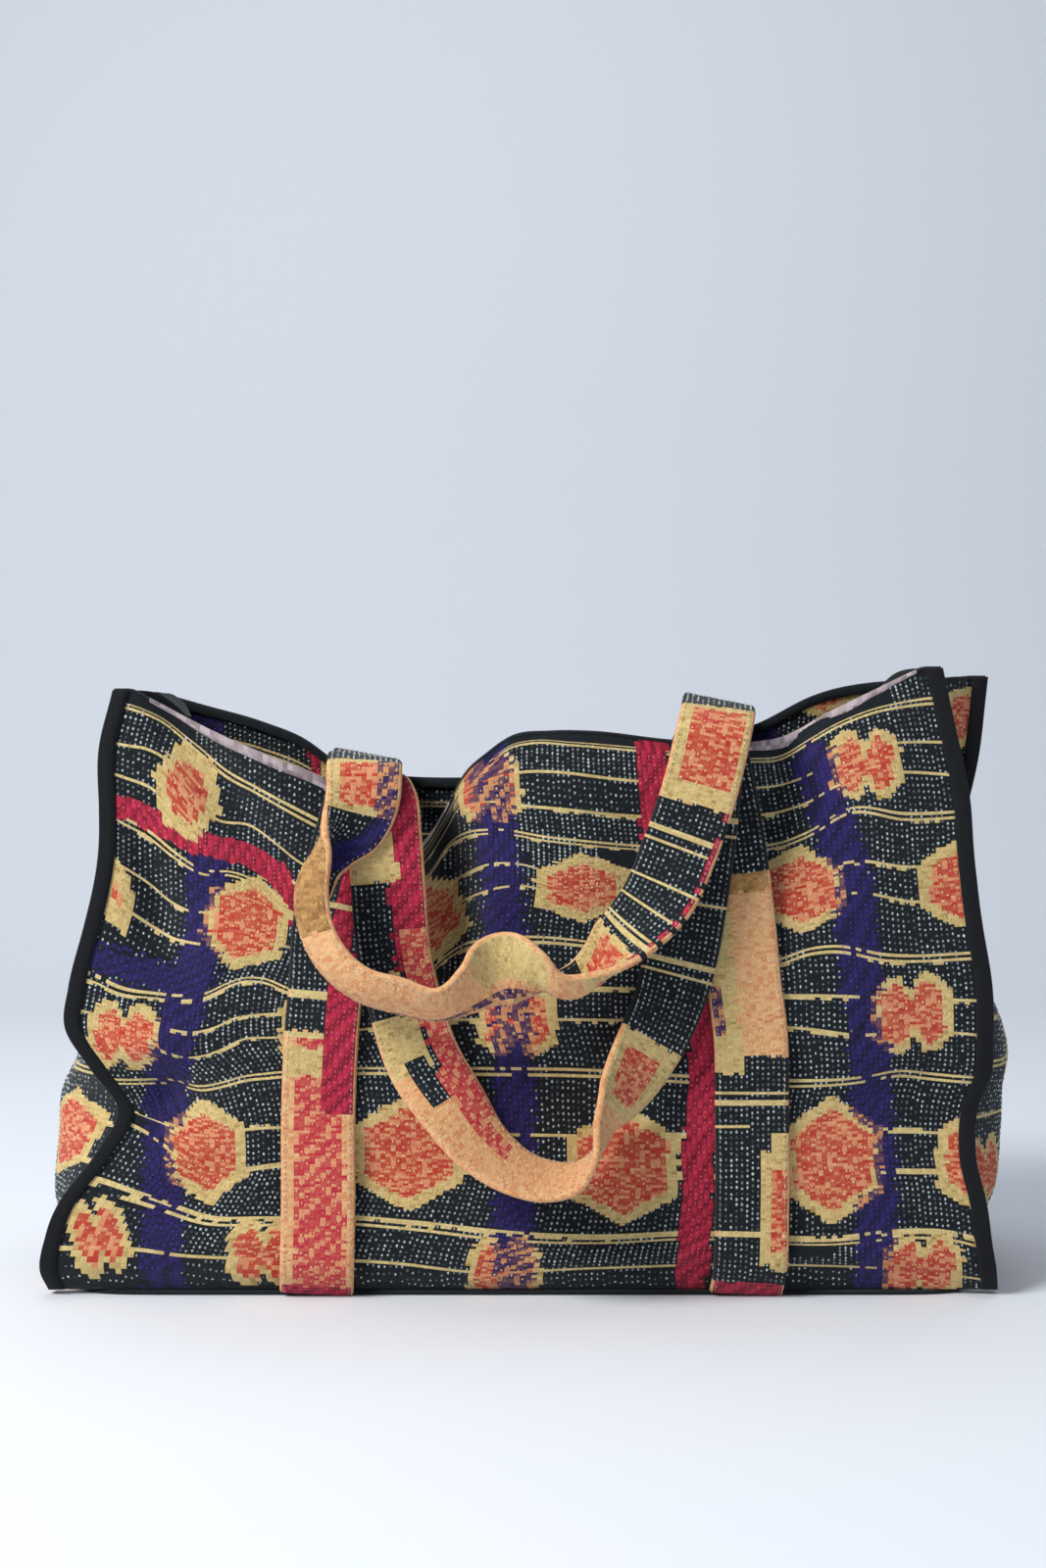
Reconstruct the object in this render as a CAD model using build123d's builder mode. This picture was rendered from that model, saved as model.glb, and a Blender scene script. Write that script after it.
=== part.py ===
"""A soft quilted market bag that stands open: two panels, two gussets and a base of one cloth,
four bound corner seams, and two flat handles that have flopped over the front.

Millimetres, +Z up. X runs along the front and Y goes back from it. The origin is the centre of
the base, on the surface that the bag stands on.
"""

import os
from math import cos, exp, pi, radians, sin

from build123d import *

os.makedirs("parts", exist_ok=True)

# The quilted cloth, and the air kept between two layers that lie on each other
cloth = 2.4
gap = 0.3

# The base, and the height at which the walls start just above it
base_width = 484.0
base_depth = 178.0
base_corner = 12.0
wall_foot = cloth + gap

# The heights at which the walls are drawn, from the foot to just under the rim
heights = (wall_foot, 14.0, 34.0, 55.0, 76.0, 101.0, 123.0, 145.0, 168.0, 200.0, 232.0, 265.0, 298.0)

# The height of the rim at each corner seam
seam_tops = {"front_left": 329.0, "front_right": 341.0, "back_left": 333.0, "back_right": 343.0}

# Where each corner seam runs, at those heights and at its top. The walls curve in under the bag at
# the foot, the left seams fold in sharply a third of the way up, and the back leans forward
front_left_x = (-258, -261, -257, -248, -232, -220, -234, -247, -245, -237, -230, -229, -229, -222)
front_right_x = (258, 256, 252, 249, 245, 247, 254, 254, 253, 248, 244, 242, 236, 227)
back_left_x = (-250, -254, -254, -250, -244, -238, -242, -246, -246, -240, -236, -234, -232, -231)
back_right_x = (252, 255, 255, 253, 253, 253, 255, 257, 259, 263, 268, 273, 278, 281)
front_seam_y = (-86, -94, -95, -95, -91, -86, -90, -94, -95, -95, -94, -93, -92, -90)
back_seam_y = (86, 92, 91, 90, 88, 85, 84, 82, 79, 74, 68, 61, 52, 43)

# How far the middle of each wall stands out from the line between its seams, at those heights
front_belly = (0, 2, 3, 4, 8, 12, 8, 5, 5, 4, 4, 4, 4, 3)
back_belly = (0, 2, 4, 5, 6, 6, 6, 6, 5, 4, 3, 2, 1, 0)
left_belly = (4, 14, 25, 36, 46, 54, 36, 18, 10, 2, -4, -10, -15, -20)
right_belly = (2, 12, 28, 39, 43, 43, 40, 34, 23, 10, 0, -10, -22, -34)

# How many pieces the cloth is drawn in across a panel and across a gusset
panel_steps = 40
gusset_steps = 12

# The seam allowance that stands out at each corner, and the tape folded over its edge
flange = 10.0
tape = 1.2
tape_width = 9.0

# How deep the bend is with which a gusset's cloth turns out to its flange
turn = 5.0

# The rims of the panels, as they sag between the corners: (x, z). The gussets' rims sag evenly
front_rim = ((-212, 329), (-183, 313), (-139, 293), (-107, 280), (-79, 262), (-56, 244), (-44, 262), (-33, 282),
             (-20, 294), (-7, 303), (15, 306), (35, 306), (83, 301), (125, 300), (145, 304), (164, 315),
             (186, 326), (217, 341))
back_rim = ((-221, 333), (-193, 325), (-158, 315), (-130, 303), (-118, 294), (-108, 287), (-84, 283), (-46, 281),
            (-5, 283), (60, 297), (110, 306), (140, 313), (174, 330), (271, 343))
gusset_sag = 14.0

# The handles are flat straps of the same cloth, folded to four layers
strap_width = 40.0
strap = 4.0

# Upright folds in the front panel: where each crosses the rim and the foot, how far it goes in,
# its half width, and the height where it dies away
front_folds = (
    (-49.0, -30.0, 26.0, 15.0, 110.0),
    (152.0, 92.0, 13.0, 17.0, 130.0),
    (-182.0, -150.0, 6.0, 30.0, 90.0),
)


def eased(value):
    """0 below 0, 1 above 1, and a smooth rise between."""
    value = min(max(value, 0.0), 1.0)
    return value * value * (3.0 - 2.0 * value)


def rim_at(x, rim):
    """The height of a rim at x, along straight lines between its places."""
    for (first_x, first_z), (next_x, next_z) in zip(rim, rim[1:]):
        if x <= next_x:
            return first_z + (next_z - first_z) * (x - first_x) / (next_x - first_x)
    return rim[-1][1]


def folds_at(x, z, folds):
    """How far the upright folds take the panel in at x, z: a bell across each fold, deeper towards the rim."""
    depth = 0.0
    for rim_x, foot_x, deep, half_width, dies_at in folds:
        off = (x - foot_x - (rim_x - foot_x) * z / heights[-1]) / half_width
        depth += deep * exp(-off * off) * eased((z - dies_at) / (heights[-2] - dies_at))
    return depth


def panel_grid(left, right, belly, out, rim, folds):
    """The outer face of a panel: rows from foot to rim, each from the left seam to the right one.

    The belly is a flat arch that rises within a fifth of the width from either seam. The rows sag
    between the seams, more towards the rim, with the square of the height. Out is -1 at the front
    and +1 at the back.
    """
    top_start, top_stop = left[-1].X + flange, right[-1].X - flange
    rows = []
    for near, far, stands_out in zip(left, right, belly):
        start, stop = near.X + flange, far.X - flange
        row = [near]
        for step in range(panel_steps + 1):
            share = step / panel_steps
            line = near + (far - near) * share
            top = left[-1].Z + (right[-1].Z - left[-1].Z) * share
            sag = top - rim_at(top_start + (top_stop - top_start) * share, rim)
            rise = line.Z / top
            x = start + (stop - start) * share
            arch = eased(min(share, 1.0 - share) / 0.2)
            depth = arch * (stands_out - folds_at(x, line.Z, folds))
            row.append(Vector(x, line.Y + out * depth, line.Z - sag * rise * rise))
        rows.append(row + [far])
    return rows


def gusset_grid(front, back, belly, out, layer):
    """One face of a gusset: rows from foot to rim, each from the front seam to the back one.

    Both ends lie flat against a panel's flange and then turn in to the wall, which arches outwards.
    Out is -1 on the left and +1 on the right. Layer is how far the face lies from the innermost one.
    """
    rows = []
    for near, far, stands_out in zip(front, back, belly):
        near_y = near.Y + cloth + gap
        far_y = far.Y - cloth - gap
        inset = out * (flange + turn - layer)
        row = [Vector(near.X, near_y + layer, near.Z), Vector(near.X - out * flange, near_y + layer, near.Z)]
        for step in range(gusset_steps + 1):
            share = step / gusset_steps
            line = near + (far - near) * share
            rise = line.Z / (front[-1].Z + (back[-1].Z - front[-1].Z) * share)
            arch = sin(pi * share)
            x = line.X - inset + out * stands_out * arch
            y = near_y + turn + (far_y - near_y - 2 * turn) * share
            row.append(Vector(x, y, line.Z - gusset_sag * arch * arch * rise * rise))
        row += [Vector(far.X - out * flange, far_y - layer, far.Z), Vector(far.X, far_y - layer, far.Z)]
        rows.append(row)
    return rows


def strip(first, second):
    """Flat triangles between two rows of points."""
    triangles = []
    for near, far in zip(range(len(first) - 1), range(1, len(first))):
        triangles.append((first[near], first[far], second[far]))
        triangles.append((first[near], second[far], second[near]))
    return triangles


def sheet(outer, inner):
    """The solid between the two faces of a sheet, each given as rows of points."""
    triangles = strip(inner[0], outer[0]) + strip(outer[-1], inner[-1])
    triangles += strip([row[0] for row in outer], [row[0] for row in inner])
    triangles += strip([row[-1] for row in inner], [row[-1] for row in outer])
    for grid in (outer, inner):
        for first, second in zip(grid, grid[1:]):
            triangles += strip(first, second)
    faces = [Face(Wire.make_polygon(triangle, close=True)) for triangle in triangles]
    return Solid(Shell(faces))


def binding_section(place, out_x, out_y):
    """The tape at one height: a U folded over the edges of the two flanges, open towards the bag."""
    stack = 2 * cloth + gap
    edge = place.X + out_x * gap
    face = place.Y + out_y * gap
    behind = place.Y - out_y * (stack + gap)
    mouth = place.X - out_x * tape_width
    with BuildSketch(Plane.XY.offset(place.Z)) as section:
        with BuildLine():
            Polyline(
                (mouth, face),
                (mouth, face + out_y * tape),
                (edge + out_x * tape, face + out_y * tape),
                (edge + out_x * tape, behind - out_y * tape),
                (mouth, behind - out_y * tape),
                (mouth, behind),
                (edge, behind),
                (edge, face),
                close=True,
            )
        make_face()
    return section.sketch


def strap_frame(x, y, z, turn, roll):
    """The middle of a strap and the way its width points: turn is its angle in the upright X-Z plane,
    and roll is how far its second edge lies behind its first, 90 when the strap is seen edge-on."""
    flat = cos(radians(roll))
    return Vector(x, y, z), Vector(flat * cos(radians(turn)), sin(radians(roll)), flat * sin(radians(turn)))


def strap_sheet(route):
    """A strap along its route, square across it at each place."""
    frames = [strap_frame(*place) for place in route]
    outer = []
    inner = []
    for number, (middle, across) in enumerate(frames):
        before = frames[max(number - 1, 0)][0]
        after = frames[min(number + 1, len(frames) - 1)][0]
        side = across * (strap_width / 2)
        face = across.cross(after - before).normalized() * (strap / 2)
        outer.append((middle - side + face, middle + side + face))
        inner.append((middle - side - face, middle + side - face))
    return sheet(outer, inner)


def seam(corner, xs, ys):
    """A corner seam, from the foot to its top."""
    return [Vector(x, y, z) for x, y, z in zip(xs, ys, heights + (seam_tops[corner],))]


front_left = seam("front_left", front_left_x, front_seam_y)
front_right = seam("front_right", front_right_x, front_seam_y)
back_left = seam("back_left", back_left_x, back_seam_y)
back_right = seam("back_right", back_right_x, back_seam_y)

# The base, a flat panel with round corners under the feet of the walls

with BuildPart() as base_panel:
    with BuildSketch(Plane.XY):
        RectangleRounded(base_width, base_depth, base_corner)
    extrude(amount=cloth)

# The front panel, folded in at the notch of its sagging rim

with BuildPart() as front_panel:
    face = panel_grid(front_left, front_right, front_belly, -1, front_rim, front_folds)
    add(sheet(face, [[point + Vector(0, cloth, 0) for point in row] for row in face]))

# The back panel, which leans forward towards its top

with BuildPart() as back_panel:
    face = panel_grid(back_left, back_right, back_belly, 1, back_rim, ())
    add(sheet(face, [[point - Vector(0, cloth, 0) for point in row] for row in face]))

# The gussets, which bulge low down and fold inwards towards the rim

with BuildPart() as left_gusset:
    add(sheet(*[gusset_grid(front_left, back_left, left_belly, -1, layer) for layer in (cloth, 0.0)]))

with BuildPart() as right_gusset:
    add(sheet(*[gusset_grid(front_right, back_right, right_belly, 1, layer) for layer in (cloth, 0.0)]))

# The bindings, one folded tape over each corner seam

with BuildPart() as front_left_binding:
    loft([binding_section(place, -1, -1) for place in front_left], ruled=True)

with BuildPart() as front_right_binding:
    loft([binding_section(place, 1, -1) for place in front_right], ruled=True)

with BuildPart() as back_left_binding:
    loft([binding_section(place, -1, 1) for place in back_left], ruled=True)

with BuildPart() as back_right_binding:
    loft([binding_section(place, 1, 1) for place in back_right], ruled=True)

# The front handle: sewn up the front panel, over the rim on the left, down in a loose loop and back.
# Each place is x, y, z, turn and roll

front_handle_route = (
    (-112, -90.0, wall_foot, 0, 0),
    (-111, -98.9, 14, 0, 0),
    (-110, -101.9, 50, 0, 0),
    (-110, -100.9, 101, 0, 0),
    (-108, -102.4, 145, 0, 0),
    (-106, -102.9, 168, 0, 0),
    (-104, -102.2, 200, 0, 0),
    (-92, -101.0, 250, 0, 0),
    (-86, -102.5, 268, 0, 0),
    (-80, -107.0, 274, 0, 0),
    (-76, -110.5, 268, 0, 0),
    (-74, -110.5, 252, 0, 0),
    (-72, -110, 226, 4, 0),
    (-68, -110, 183, 4, 0),
    (-62, -110, 158, 5, 0),
    (-54, -111, 133, 12, 4),
    (-38, -115, 108, 29, 27),
    (-21, -119, 86, 42, 49),
    (-4, -122, 74, 57, 62),
    (12, -123, 69, 76, 70),
    (28, -124, 71, 90, 80),
    (39, -124, 84, -30, 84),
    (44, -122, 100, -35, 68),
    (52, -119, 113, -38, 44),
    (63, -116, 132, -27, 26),
    (76, -112, 158, -15, 16),
    (84, -110, 186, -4, 6),
    (89, -109, 215, 0, 0),
    (94, -108.5, 250, 0, 0),
    (98, -108.5, 288, 0, 0),
    (100, -104.8, 300, 0, 0),
    (102, -101.2, 290, 0, 0),
    (107, -101.6, 265, 0, 0),
    (116, -102.2, 200, 0, 0),
    (119, -102.9, 168, 0, 0),
    (122, -102.4, 145, 0, 0),
    (123, -100.9, 101, 0, 0),
    (123, -101.9, 50, 0, 0),
    (122, -98.9, 14, 0, 0),
    (121, -90.0, wall_foot, 0, 0),
)

with BuildPart() as front_handle:
    add(strap_sheet(front_handle_route))

# The back handle: sewn up the back panel, over the mouth to the front and down in a wide twisted loop

back_handle_route = (
    (-115, 90.0, wall_foot, 0, 0),
    (-115, 97.0, 14, 0, 0),
    (-114, 98.5, 50, 0, 0),
    (-113, 95.0, 101, 0, 0),
    (-111, 92.0, 145, 0, 0),
    (-108, 82.0, 200, 0, 0),
    (-102, 68.0, 265, 0, 0),
    (-99, 60.0, 281, -4, 0),
    (-98, 53.0, 291, -8, 0),
    (-96, 42.0, 294, -10, 0),
    (-92, 15.0, 293, -10, 0),
    (-88, -60.0, 291, -8, 0),
    (-85, -104.0, 290, -6, 0),
    (-84, -117.0, 286, -4, 0),
    (-84, -121.5, 274, -3, 4),
    (-90, -123.0, 255, -3, 8),
    (-96, -127.0, 236, -5, 28),
    (-102, -133.0, 220, -5, 56),
    (-104, -137.0, 205, -10, 78),
    (-102, -138.0, 189, -160, 76),
    (-90, -137.0, 175, -125, 56),
    (-68, -137.0, 170, -106, 70),
    (-46, -136.0, 165, -95, 72),
    (-25, -132.0, 173, -89, 42),
    (-6, -131.0, 179, -86, 15),
    (12, -131.0, 178, -84, 60),
    (23, -131.0, 180, -80, 86),
    (34, -131.0, 185, 128, 60),
    (47, -129.0, 192, 130, 48),
    (60, -127.0, 205, 136, 40),
    (73, -125.0, 226, 150, 30),
    (85, -123.0, 251, 168, 16),
    (95, -121.0, 281, 174, 4),
    (101, -118.0, 306, 180, 0),
    (104, -108.0, 316, 176, 0),
    (106, -92.0, 320, 172, 0),
    (112, -20.0, 323, 168, 0),
    (117, 40.0, 323, 168, 0),
    (118, 55.0, 315, 172, 0),
    (118, 61.5, 300, 176, 0),
    (118, 68.0, 265, 180, 0),
    (118, 82.0, 200, 180, 0),
    (117, 92.0, 145, 180, 0),
    (116, 95.0, 101, 180, 0),
    (115, 98.5, 50, 180, 0),
    (115, 97.0, 14, 180, 0),
    (115, 90.0, wall_foot, 180, 0),
)

with BuildPart() as back_handle:
    add(strap_sheet(back_handle_route))

# Each piece is labelled and written to its own file

pieces = {
    "base_panel": base_panel,
    "front_panel": front_panel,
    "back_panel": back_panel,
    "left_gusset": left_gusset,
    "right_gusset": right_gusset,
    "front_left_binding": front_left_binding,
    "front_right_binding": front_right_binding,
    "back_left_binding": back_left_binding,
    "back_right_binding": back_right_binding,
    "front_handle": front_handle,
    "back_handle": back_handle,
}

for name, piece in pieces.items():
    piece.part.label = name
    export_step(piece.part, f"parts/{name}.step")
    print(name, "solids", len(piece.solids()), "volume", round(piece.part.volume))
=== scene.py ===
"""A slumped market bag of quilted patchwork cloth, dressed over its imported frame.

The file is laid out as an add-on and run as a script. It builds the bag's cloth, its raised running
stitches, the black tape on the corner seams, the turned hems and the two flopped handles.

Shapes are worked out in millimetres and written to the meshes in metres. X runs along the front,
Y goes back from it and Z is up, as in the frame.
"""

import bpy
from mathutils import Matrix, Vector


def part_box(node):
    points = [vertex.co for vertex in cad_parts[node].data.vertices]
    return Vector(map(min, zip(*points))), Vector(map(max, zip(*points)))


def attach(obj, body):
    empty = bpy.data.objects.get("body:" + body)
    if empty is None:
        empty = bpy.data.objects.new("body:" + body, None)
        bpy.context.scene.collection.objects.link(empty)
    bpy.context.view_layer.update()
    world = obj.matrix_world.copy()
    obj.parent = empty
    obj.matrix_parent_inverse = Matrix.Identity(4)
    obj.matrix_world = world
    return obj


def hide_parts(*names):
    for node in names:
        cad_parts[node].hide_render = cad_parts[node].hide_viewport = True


bl_info = {
    "name": "Quilted Market Bag",
    "version": (1, 0, 0),
    "blender": (4, 5, 0),
    "location": "3D View > Sidebar > Market Bag",
    "description": "Builds a slumped market bag of quilted cloth with two flopped handles",
    "category": "Add Mesh",
}

import bpy
import numpy as np
from bpy.props import FloatProperty, FloatVectorProperty, PointerProperty

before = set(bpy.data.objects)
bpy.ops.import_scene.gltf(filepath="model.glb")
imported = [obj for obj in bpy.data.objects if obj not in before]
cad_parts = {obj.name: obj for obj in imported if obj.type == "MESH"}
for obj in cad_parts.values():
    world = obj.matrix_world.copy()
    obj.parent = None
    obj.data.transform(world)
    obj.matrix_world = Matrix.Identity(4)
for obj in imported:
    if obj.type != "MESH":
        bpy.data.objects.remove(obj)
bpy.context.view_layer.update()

MM = 0.001

# The frame's own sizes, in millimetres: the base, the cloth's thickness, the gap between sewn pieces
# and the height of the walls' foot
BASE_LOW, BASE_HIGH = (np.array(corner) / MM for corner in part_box("base_panel"))
CLOTH = BASE_HIGH[2] - BASE_LOW[2]
GAP = 0.3
FOOT = CLOTH + GAP

# The corner seams, at these heights and at their tops
HEIGHTS = (FOOT, 14, 34, 55, 76, 101, 123, 145, 168, 200, 232, 265, 298)
SEAM_TOPS = {"front_left": 329, "front_right": 341, "back_left": 333, "back_right": 343}
SEAM_X = {
    "front_left": (-258, -261, -257, -248, -232, -220, -234, -247, -245, -237, -230, -229, -229, -222),
    "front_right": (258, 256, 252, 249, 245, 247, 254, 254, 253, 248, 244, 242, 236, 227),
    "back_left": (-250, -254, -254, -250, -244, -238, -242, -246, -246, -240, -236, -234, -232, -231),
    "back_right": (252, 255, 255, 253, 253, 253, 255, 257, 259, 263, 268, 273, 278, 281),
}
SEAM_Y = {
    "front": (-86, -94, -95, -95, -91, -86, -90, -94, -95, -95, -94, -93, -92, -90),
    "back": (86, 92, 91, 90, 88, 85, 84, 82, 79, 74, 68, 61, 52, 43),
}

# How far the middle of each wall stands out from its seams, at the same heights
BELLY = {
    "front": (0, 2, 3, 4, 8, 12, 8, 5, 5, 4, 4, 4, 4, 3),
    "back": (0, 2, 4, 5, 6, 6, 6, 6, 5, 4, 3, 2, 1, 0),
    "left": (4, 14, 25, 36, 46, 54, 36, 18, 10, 2, -4, -10, -15, -20),
    "right": (2, 12, 28, 39, 43, 43, 40, 34, 23, 10, 0, -10, -22, -34),
}

# A panel's belly rises over this share of its width at either side, and its creases over this distance
BELLY_RISE = 0.2
CREASE_RISE = 25.0

# How far the slack cloth ripples, and the height over which a panel's ripples grow
PANEL_SLACK = 0.9
GUSSET_SLACK = 1.2
SLACK_RISE = 30.0

# The seam allowances stand out at the corners, and a gusset turns out to them in a small bend
FLANGE = 10.0
TURN = 5.0

# The base: the power of its rounded oblong, and its edge's section as shares of its width and height
BASE_ROUNDNESS = 0.12
BASE_SECTION = (
    (0.02, 0.0), (0.5, 0.0), (0.9, 0.0), (0.985, 0.0), (0.998, 0.3), (1.0, 0.5),
    (0.998, 0.7), (0.985, 1.0), (0.9, 1.0), (0.5, 1.0), (0.02, 1.0),
)

# How far the inside of a corner tape stays clear of the cloth
TAPE_CLEAR = 0.25

# The backdrop, in metres: where the floor's bend starts behind the bag, and its radius
BACKDROP_Y = 1.3
SWEEP = 0.9

# The rims of the panels as they sag between the corners, as (x, z), and how far a gusset's rim sags
FRONT_RIM = (
    (-212, 329), (-183, 313), (-139, 293), (-107, 280), (-79, 262), (-56, 244), (-44, 262), (-33, 282),
    (-20, 294), (-7, 303), (15, 306), (35, 306), (83, 301), (125, 300), (145, 304), (164, 315), (186, 326),
    (217, 341),
)
BACK_RIM = (
    (-221, 333), (-193, 325), (-158, 315), (-130, 303), (-118, 294), (-108, 287), (-84, 283), (-46, 281),
    (-5, 283), (60, 297), (110, 306), (140, 313), (174, 330), (271, 343),
)
GUSSET_SAG = 14.0

# The panels' widths as woven, which set how many cells go across them
FRONT_WIDE = 498.0
BACK_WIDE = 510.0

# Creases pressed into the panels: from (x, z) to (x, z), how deep, and half how wide. A negative
# depth is a ridge
FRONT_CREASES = (
    (-49, 330, -32, 110, 26, 15),
    (152, 330, 118, 170, 13, 17),
    (-200, 330, -112, 196, 9, 14),
    (-226, 262, -178, 160, 9, 14),
    (-232, 101, -160, 114, 9, 12),
    (-225, 66, -150, 84, -4, 14),
    (-230, 132, -166, 142, -4, 11),
    (-160, 176, -122, 168, 3, 9),
    (200, 300, 180, 150, -4, 20),
    (20, 300, 10, 170, -4, 24),
    (228, 120, 140, 96, 4, 14),
    (60, 250, 70, 60, 3, 18),
)
BACK_CREASES = (
    (-40, 300, -20, 120, 5, 24),
    (170, 320, 140, 180, 4, 22),
    (-180, 320, -160, 200, -3, 20),
)

# One woven cell: the pitch of the upright rows of stitches, and half a stitch's pitch along them
CELL_WIDE = 3.0
CELL_TALL = 1.5

# How many rows of cells below the rim have raised stitches inside too
INNER_ROWS = 36

# The running stitches: the share left out, how many columns until they move on by one, the lowest
# cell that holds one, and how deep their ends sit in the cloth
STITCHES_MISSING = 0.06
STITCH_SHIFT = 7
LOWEST_CELL = 0.9
STITCH_SUNK = 0.3

# A strap: the width of its rounded edges, the cells across it, and its half width in its print's fields
EDGE_ROUND = 1.4
STRAP_COLUMNS = 13
EDGE = 20

# The handles' places: x, y, z, and the turn and roll of the strap's width in degrees
FRONT_HANDLE_ROUTE = (
    (-112, -90.0, FOOT, 0, 0), (-111, -98.9, 14, 0, 0), (-110, -101.9, 50, 0, 0),
    (-110, -100.9, 101, 0, 0), (-108, -102.4, 145, 0, 0), (-106, -102.9, 168, 0, 0),
    (-104, -102.2, 200, 0, 0), (-92, -101.0, 250, 0, 0), (-86, -102.5, 268, 0, 0),
    (-80, -107.0, 274, 0, 0), (-76, -110.5, 268, 0, 0), (-74, -110.5, 252, 0, 0), (-72, -110, 226, 4, 0),
    (-68, -110, 183, 4, 0), (-62, -110, 158, 5, 0), (-54, -111, 133, 12, 4), (-38, -115, 108, 29, 27),
    (-21, -119, 86, 42, 49), (-4, -122, 74, 57, 62), (12, -123, 69, 76, 70), (28, -124, 71, 90, 80),
    (39, -124, 84, -30, 84), (44, -122, 100, -35, 68), (52, -119, 113, -38, 44), (63, -116, 132, -27, 26),
    (76, -112, 158, -15, 16), (84, -110, 186, -4, 6), (89, -109, 215, 0, 0), (94, -108.5, 250, 0, 0),
    (98, -108.5, 288, 0, 0), (100, -104.8, 300, 0, 0), (102, -101.2, 290, 0, 0), (107, -101.6, 265, 0, 0),
    (116, -102.2, 200, 0, 0), (119, -102.9, 168, 0, 0), (122, -102.4, 145, 0, 0),
    (123, -100.9, 101, 0, 0), (123, -101.9, 50, 0, 0), (122, -98.9, 14, 0, 0), (121, -90.0, FOOT, 0, 0),
)
BACK_HANDLE_ROUTE = (
    (-115, 90.0, FOOT, 0, 0), (-115, 97.0, 14, 0, 0), (-114, 98.5, 50, 0, 0), (-113, 95.0, 101, 0, 0),
    (-111, 92.0, 145, 0, 0), (-108, 82.0, 200, 0, 0), (-102, 68.0, 265, 0, 0), (-99, 60.0, 281, -4, 0),
    (-98, 53.0, 291, -8, 0), (-96, 42.0, 294, -10, 0), (-92, 15.0, 293, -10, 0), (-88, -60.0, 291, -8, 0),
    (-85, -104.0, 290, -6, 0), (-84, -117.0, 286, -4, 0), (-84, -121.5, 274, -3, 4),
    (-87, -124.0, 256, -14, 30), (-95, -129.0, 238, -14, 66), (-99, -134.0, 222, 0, 87),
    (-98, -136.0, 206, -170, 84), (-92, -137.0, 191, -150, 76), (-81, -137.0, 179, -125, 70),
    (-64, -137.0, 172, -104, 66), (-44, -136.0, 166, -100, 66), (-27, -133.0, 172, -99, 40),
    (-11, -131.0, 181, -97, 8), (8, -131.0, 181, -85, 50), (22, -131.0, 181, 110, 86),
    (32, -131.0, 185, 120, 70), (41, -130.5, 190, 135, 56), (49, -129.5, 196, 150, 42),
    (58, -127.5, 203, 163, 32), (69, -125.0, 215, 173, 20), (83, -123.0, 245, 181, 6),
    (95, -121.0, 281, 180, 2), (101, -118.0, 306, 180, 0), (104, -108.0, 316, 176, 0),
    (106, -92.0, 320, 172, 0), (112, -20.0, 323, 168, 0), (117, 40.0, 323, 168, 0),
    (118, 55.0, 315, 172, 0), (118, 61.5, 300, 176, 0), (118, 68.0, 265, 180, 0),
    (118, 82.0, 200, 180, 0), (117, 92.0, 145, 180, 0), (116, 95.0, 101, 180, 0), (115, 98.5, 50, 180, 0),
    (115, 97.0, 14, 180, 0), (115, 90.0, FOOT, 180, 0),
)

# How the back handle's section curls in its two bends: place of its route, how far its middle stands
# out from the line between its edges, and how far the top of that curl lies from its middle
BACK_HANDLE_CURL = (
    (0, 0, 0), (12, 0, 0), (13, 0, 0), (15, 8, -6), (16, 15, 0), (17, 18, 0), (18, 17, 2), (19, 15, 3),
    (20, 12, 4), (21, 9, 6), (22, 6, 6), (24, 0, 0), (25, 6, 0), (26, 14, 0), (27, 13, 0), (28, 9, 0),
    (29, 5, 0), (31, 0, 0), (32, 0, 0), (46, 0, 0),
)

# The kinds of cloth in the patchwork, by number, each with its darker and lighter colour in sRGB
# The brown kind is no cloth of its own: it is peach and yellow cloth in painted shade, where a handle turns
# away from the light
GROUND, LINE, NAVY, RED, YELLOW, CORE, PEACH, MAUVE, SHADED_PEACH, MIXED, ROSE = range(11)
KIND_COLOURS = {
    GROUND: ((8, 12, 17), (24, 34, 42)),
    LINE: ((198, 172, 112), (230, 208, 148)),
    NAVY: ((20, 17, 50), (44, 34, 102)),
    RED: ((112, 18, 40), (208, 46, 78)),
    YELLOW: ((176, 144, 84), (226, 200, 136)),
    CORE: ((192, 54, 44), (230, 162, 116)),
    PEACH: ((220, 146, 98), (238, 192, 138)),
    MAUVE: ((138, 122, 126), (198, 184, 188)),
    # Painted shade: peach and yellow cloth darkened where a handle turns away from the light
    SHADED_PEACH: ((146, 102, 56), (204, 158, 98)),
    MIXED: ((44, 22, 84), (222, 154, 98)),
    ROSE: ((196, 42, 62), (232, 164, 120)),
}

# The colour of the thread on each kind, darker and lighter
THREADS = {
    GROUND: ((50, 62, 70), (222, 232, 234)),
    LINE: ((206, 182, 120), (238, 220, 162)),
    NAVY: ((34, 28, 78), (66, 56, 142)),
    RED: ((186, 40, 70), (226, 96, 112)),
    YELLOW: ((200, 170, 106), (238, 216, 158)),
    CORE: ((216, 104, 76), (244, 204, 158)),
    PEACH: ((228, 168, 118), (246, 212, 162)),
    MAUVE: ((176, 160, 164), (224, 210, 212)),
    # Thread on peach and yellow cloth, darkened as painted shade
    SHADED_PEACH: ((160, 116, 66), (218, 176, 116)),
    MIXED: ((70, 40, 110), (238, 204, 150)),
    ROSE: ((218, 74, 84), (242, 192, 150)),
}
EDGE_THREAD = ((150, 140, 120), (226, 218, 200))

# The yellow lines woven across the cloth, some of them double: the height of each in the flat cloth,
# the height of its rim, and the rows of cells up to it
SINGLE_LINES = (11, 69, 89.5, 145.6, 163.6, 216, 234, 282, 299)
DOUBLE_LINES = (34.3, 119.1, 186.1, 261.1, 321.3)
FLAT_HEIGHT = 340.0
ROWS = int(round(FLAT_HEIGHT / CELL_TALL))

# Half a single line's width, and how far a double line's two threads reach from its middle
LINE_HALF = 1.1
DOUBLE_FROM = 0.75
DOUBLE_TO = 2.65

# How often a navy band dyes a line that it crosses, and how far its streaks reach past it
LINES_DYED = 0.55
STREAK_REACH = 3.0

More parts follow.
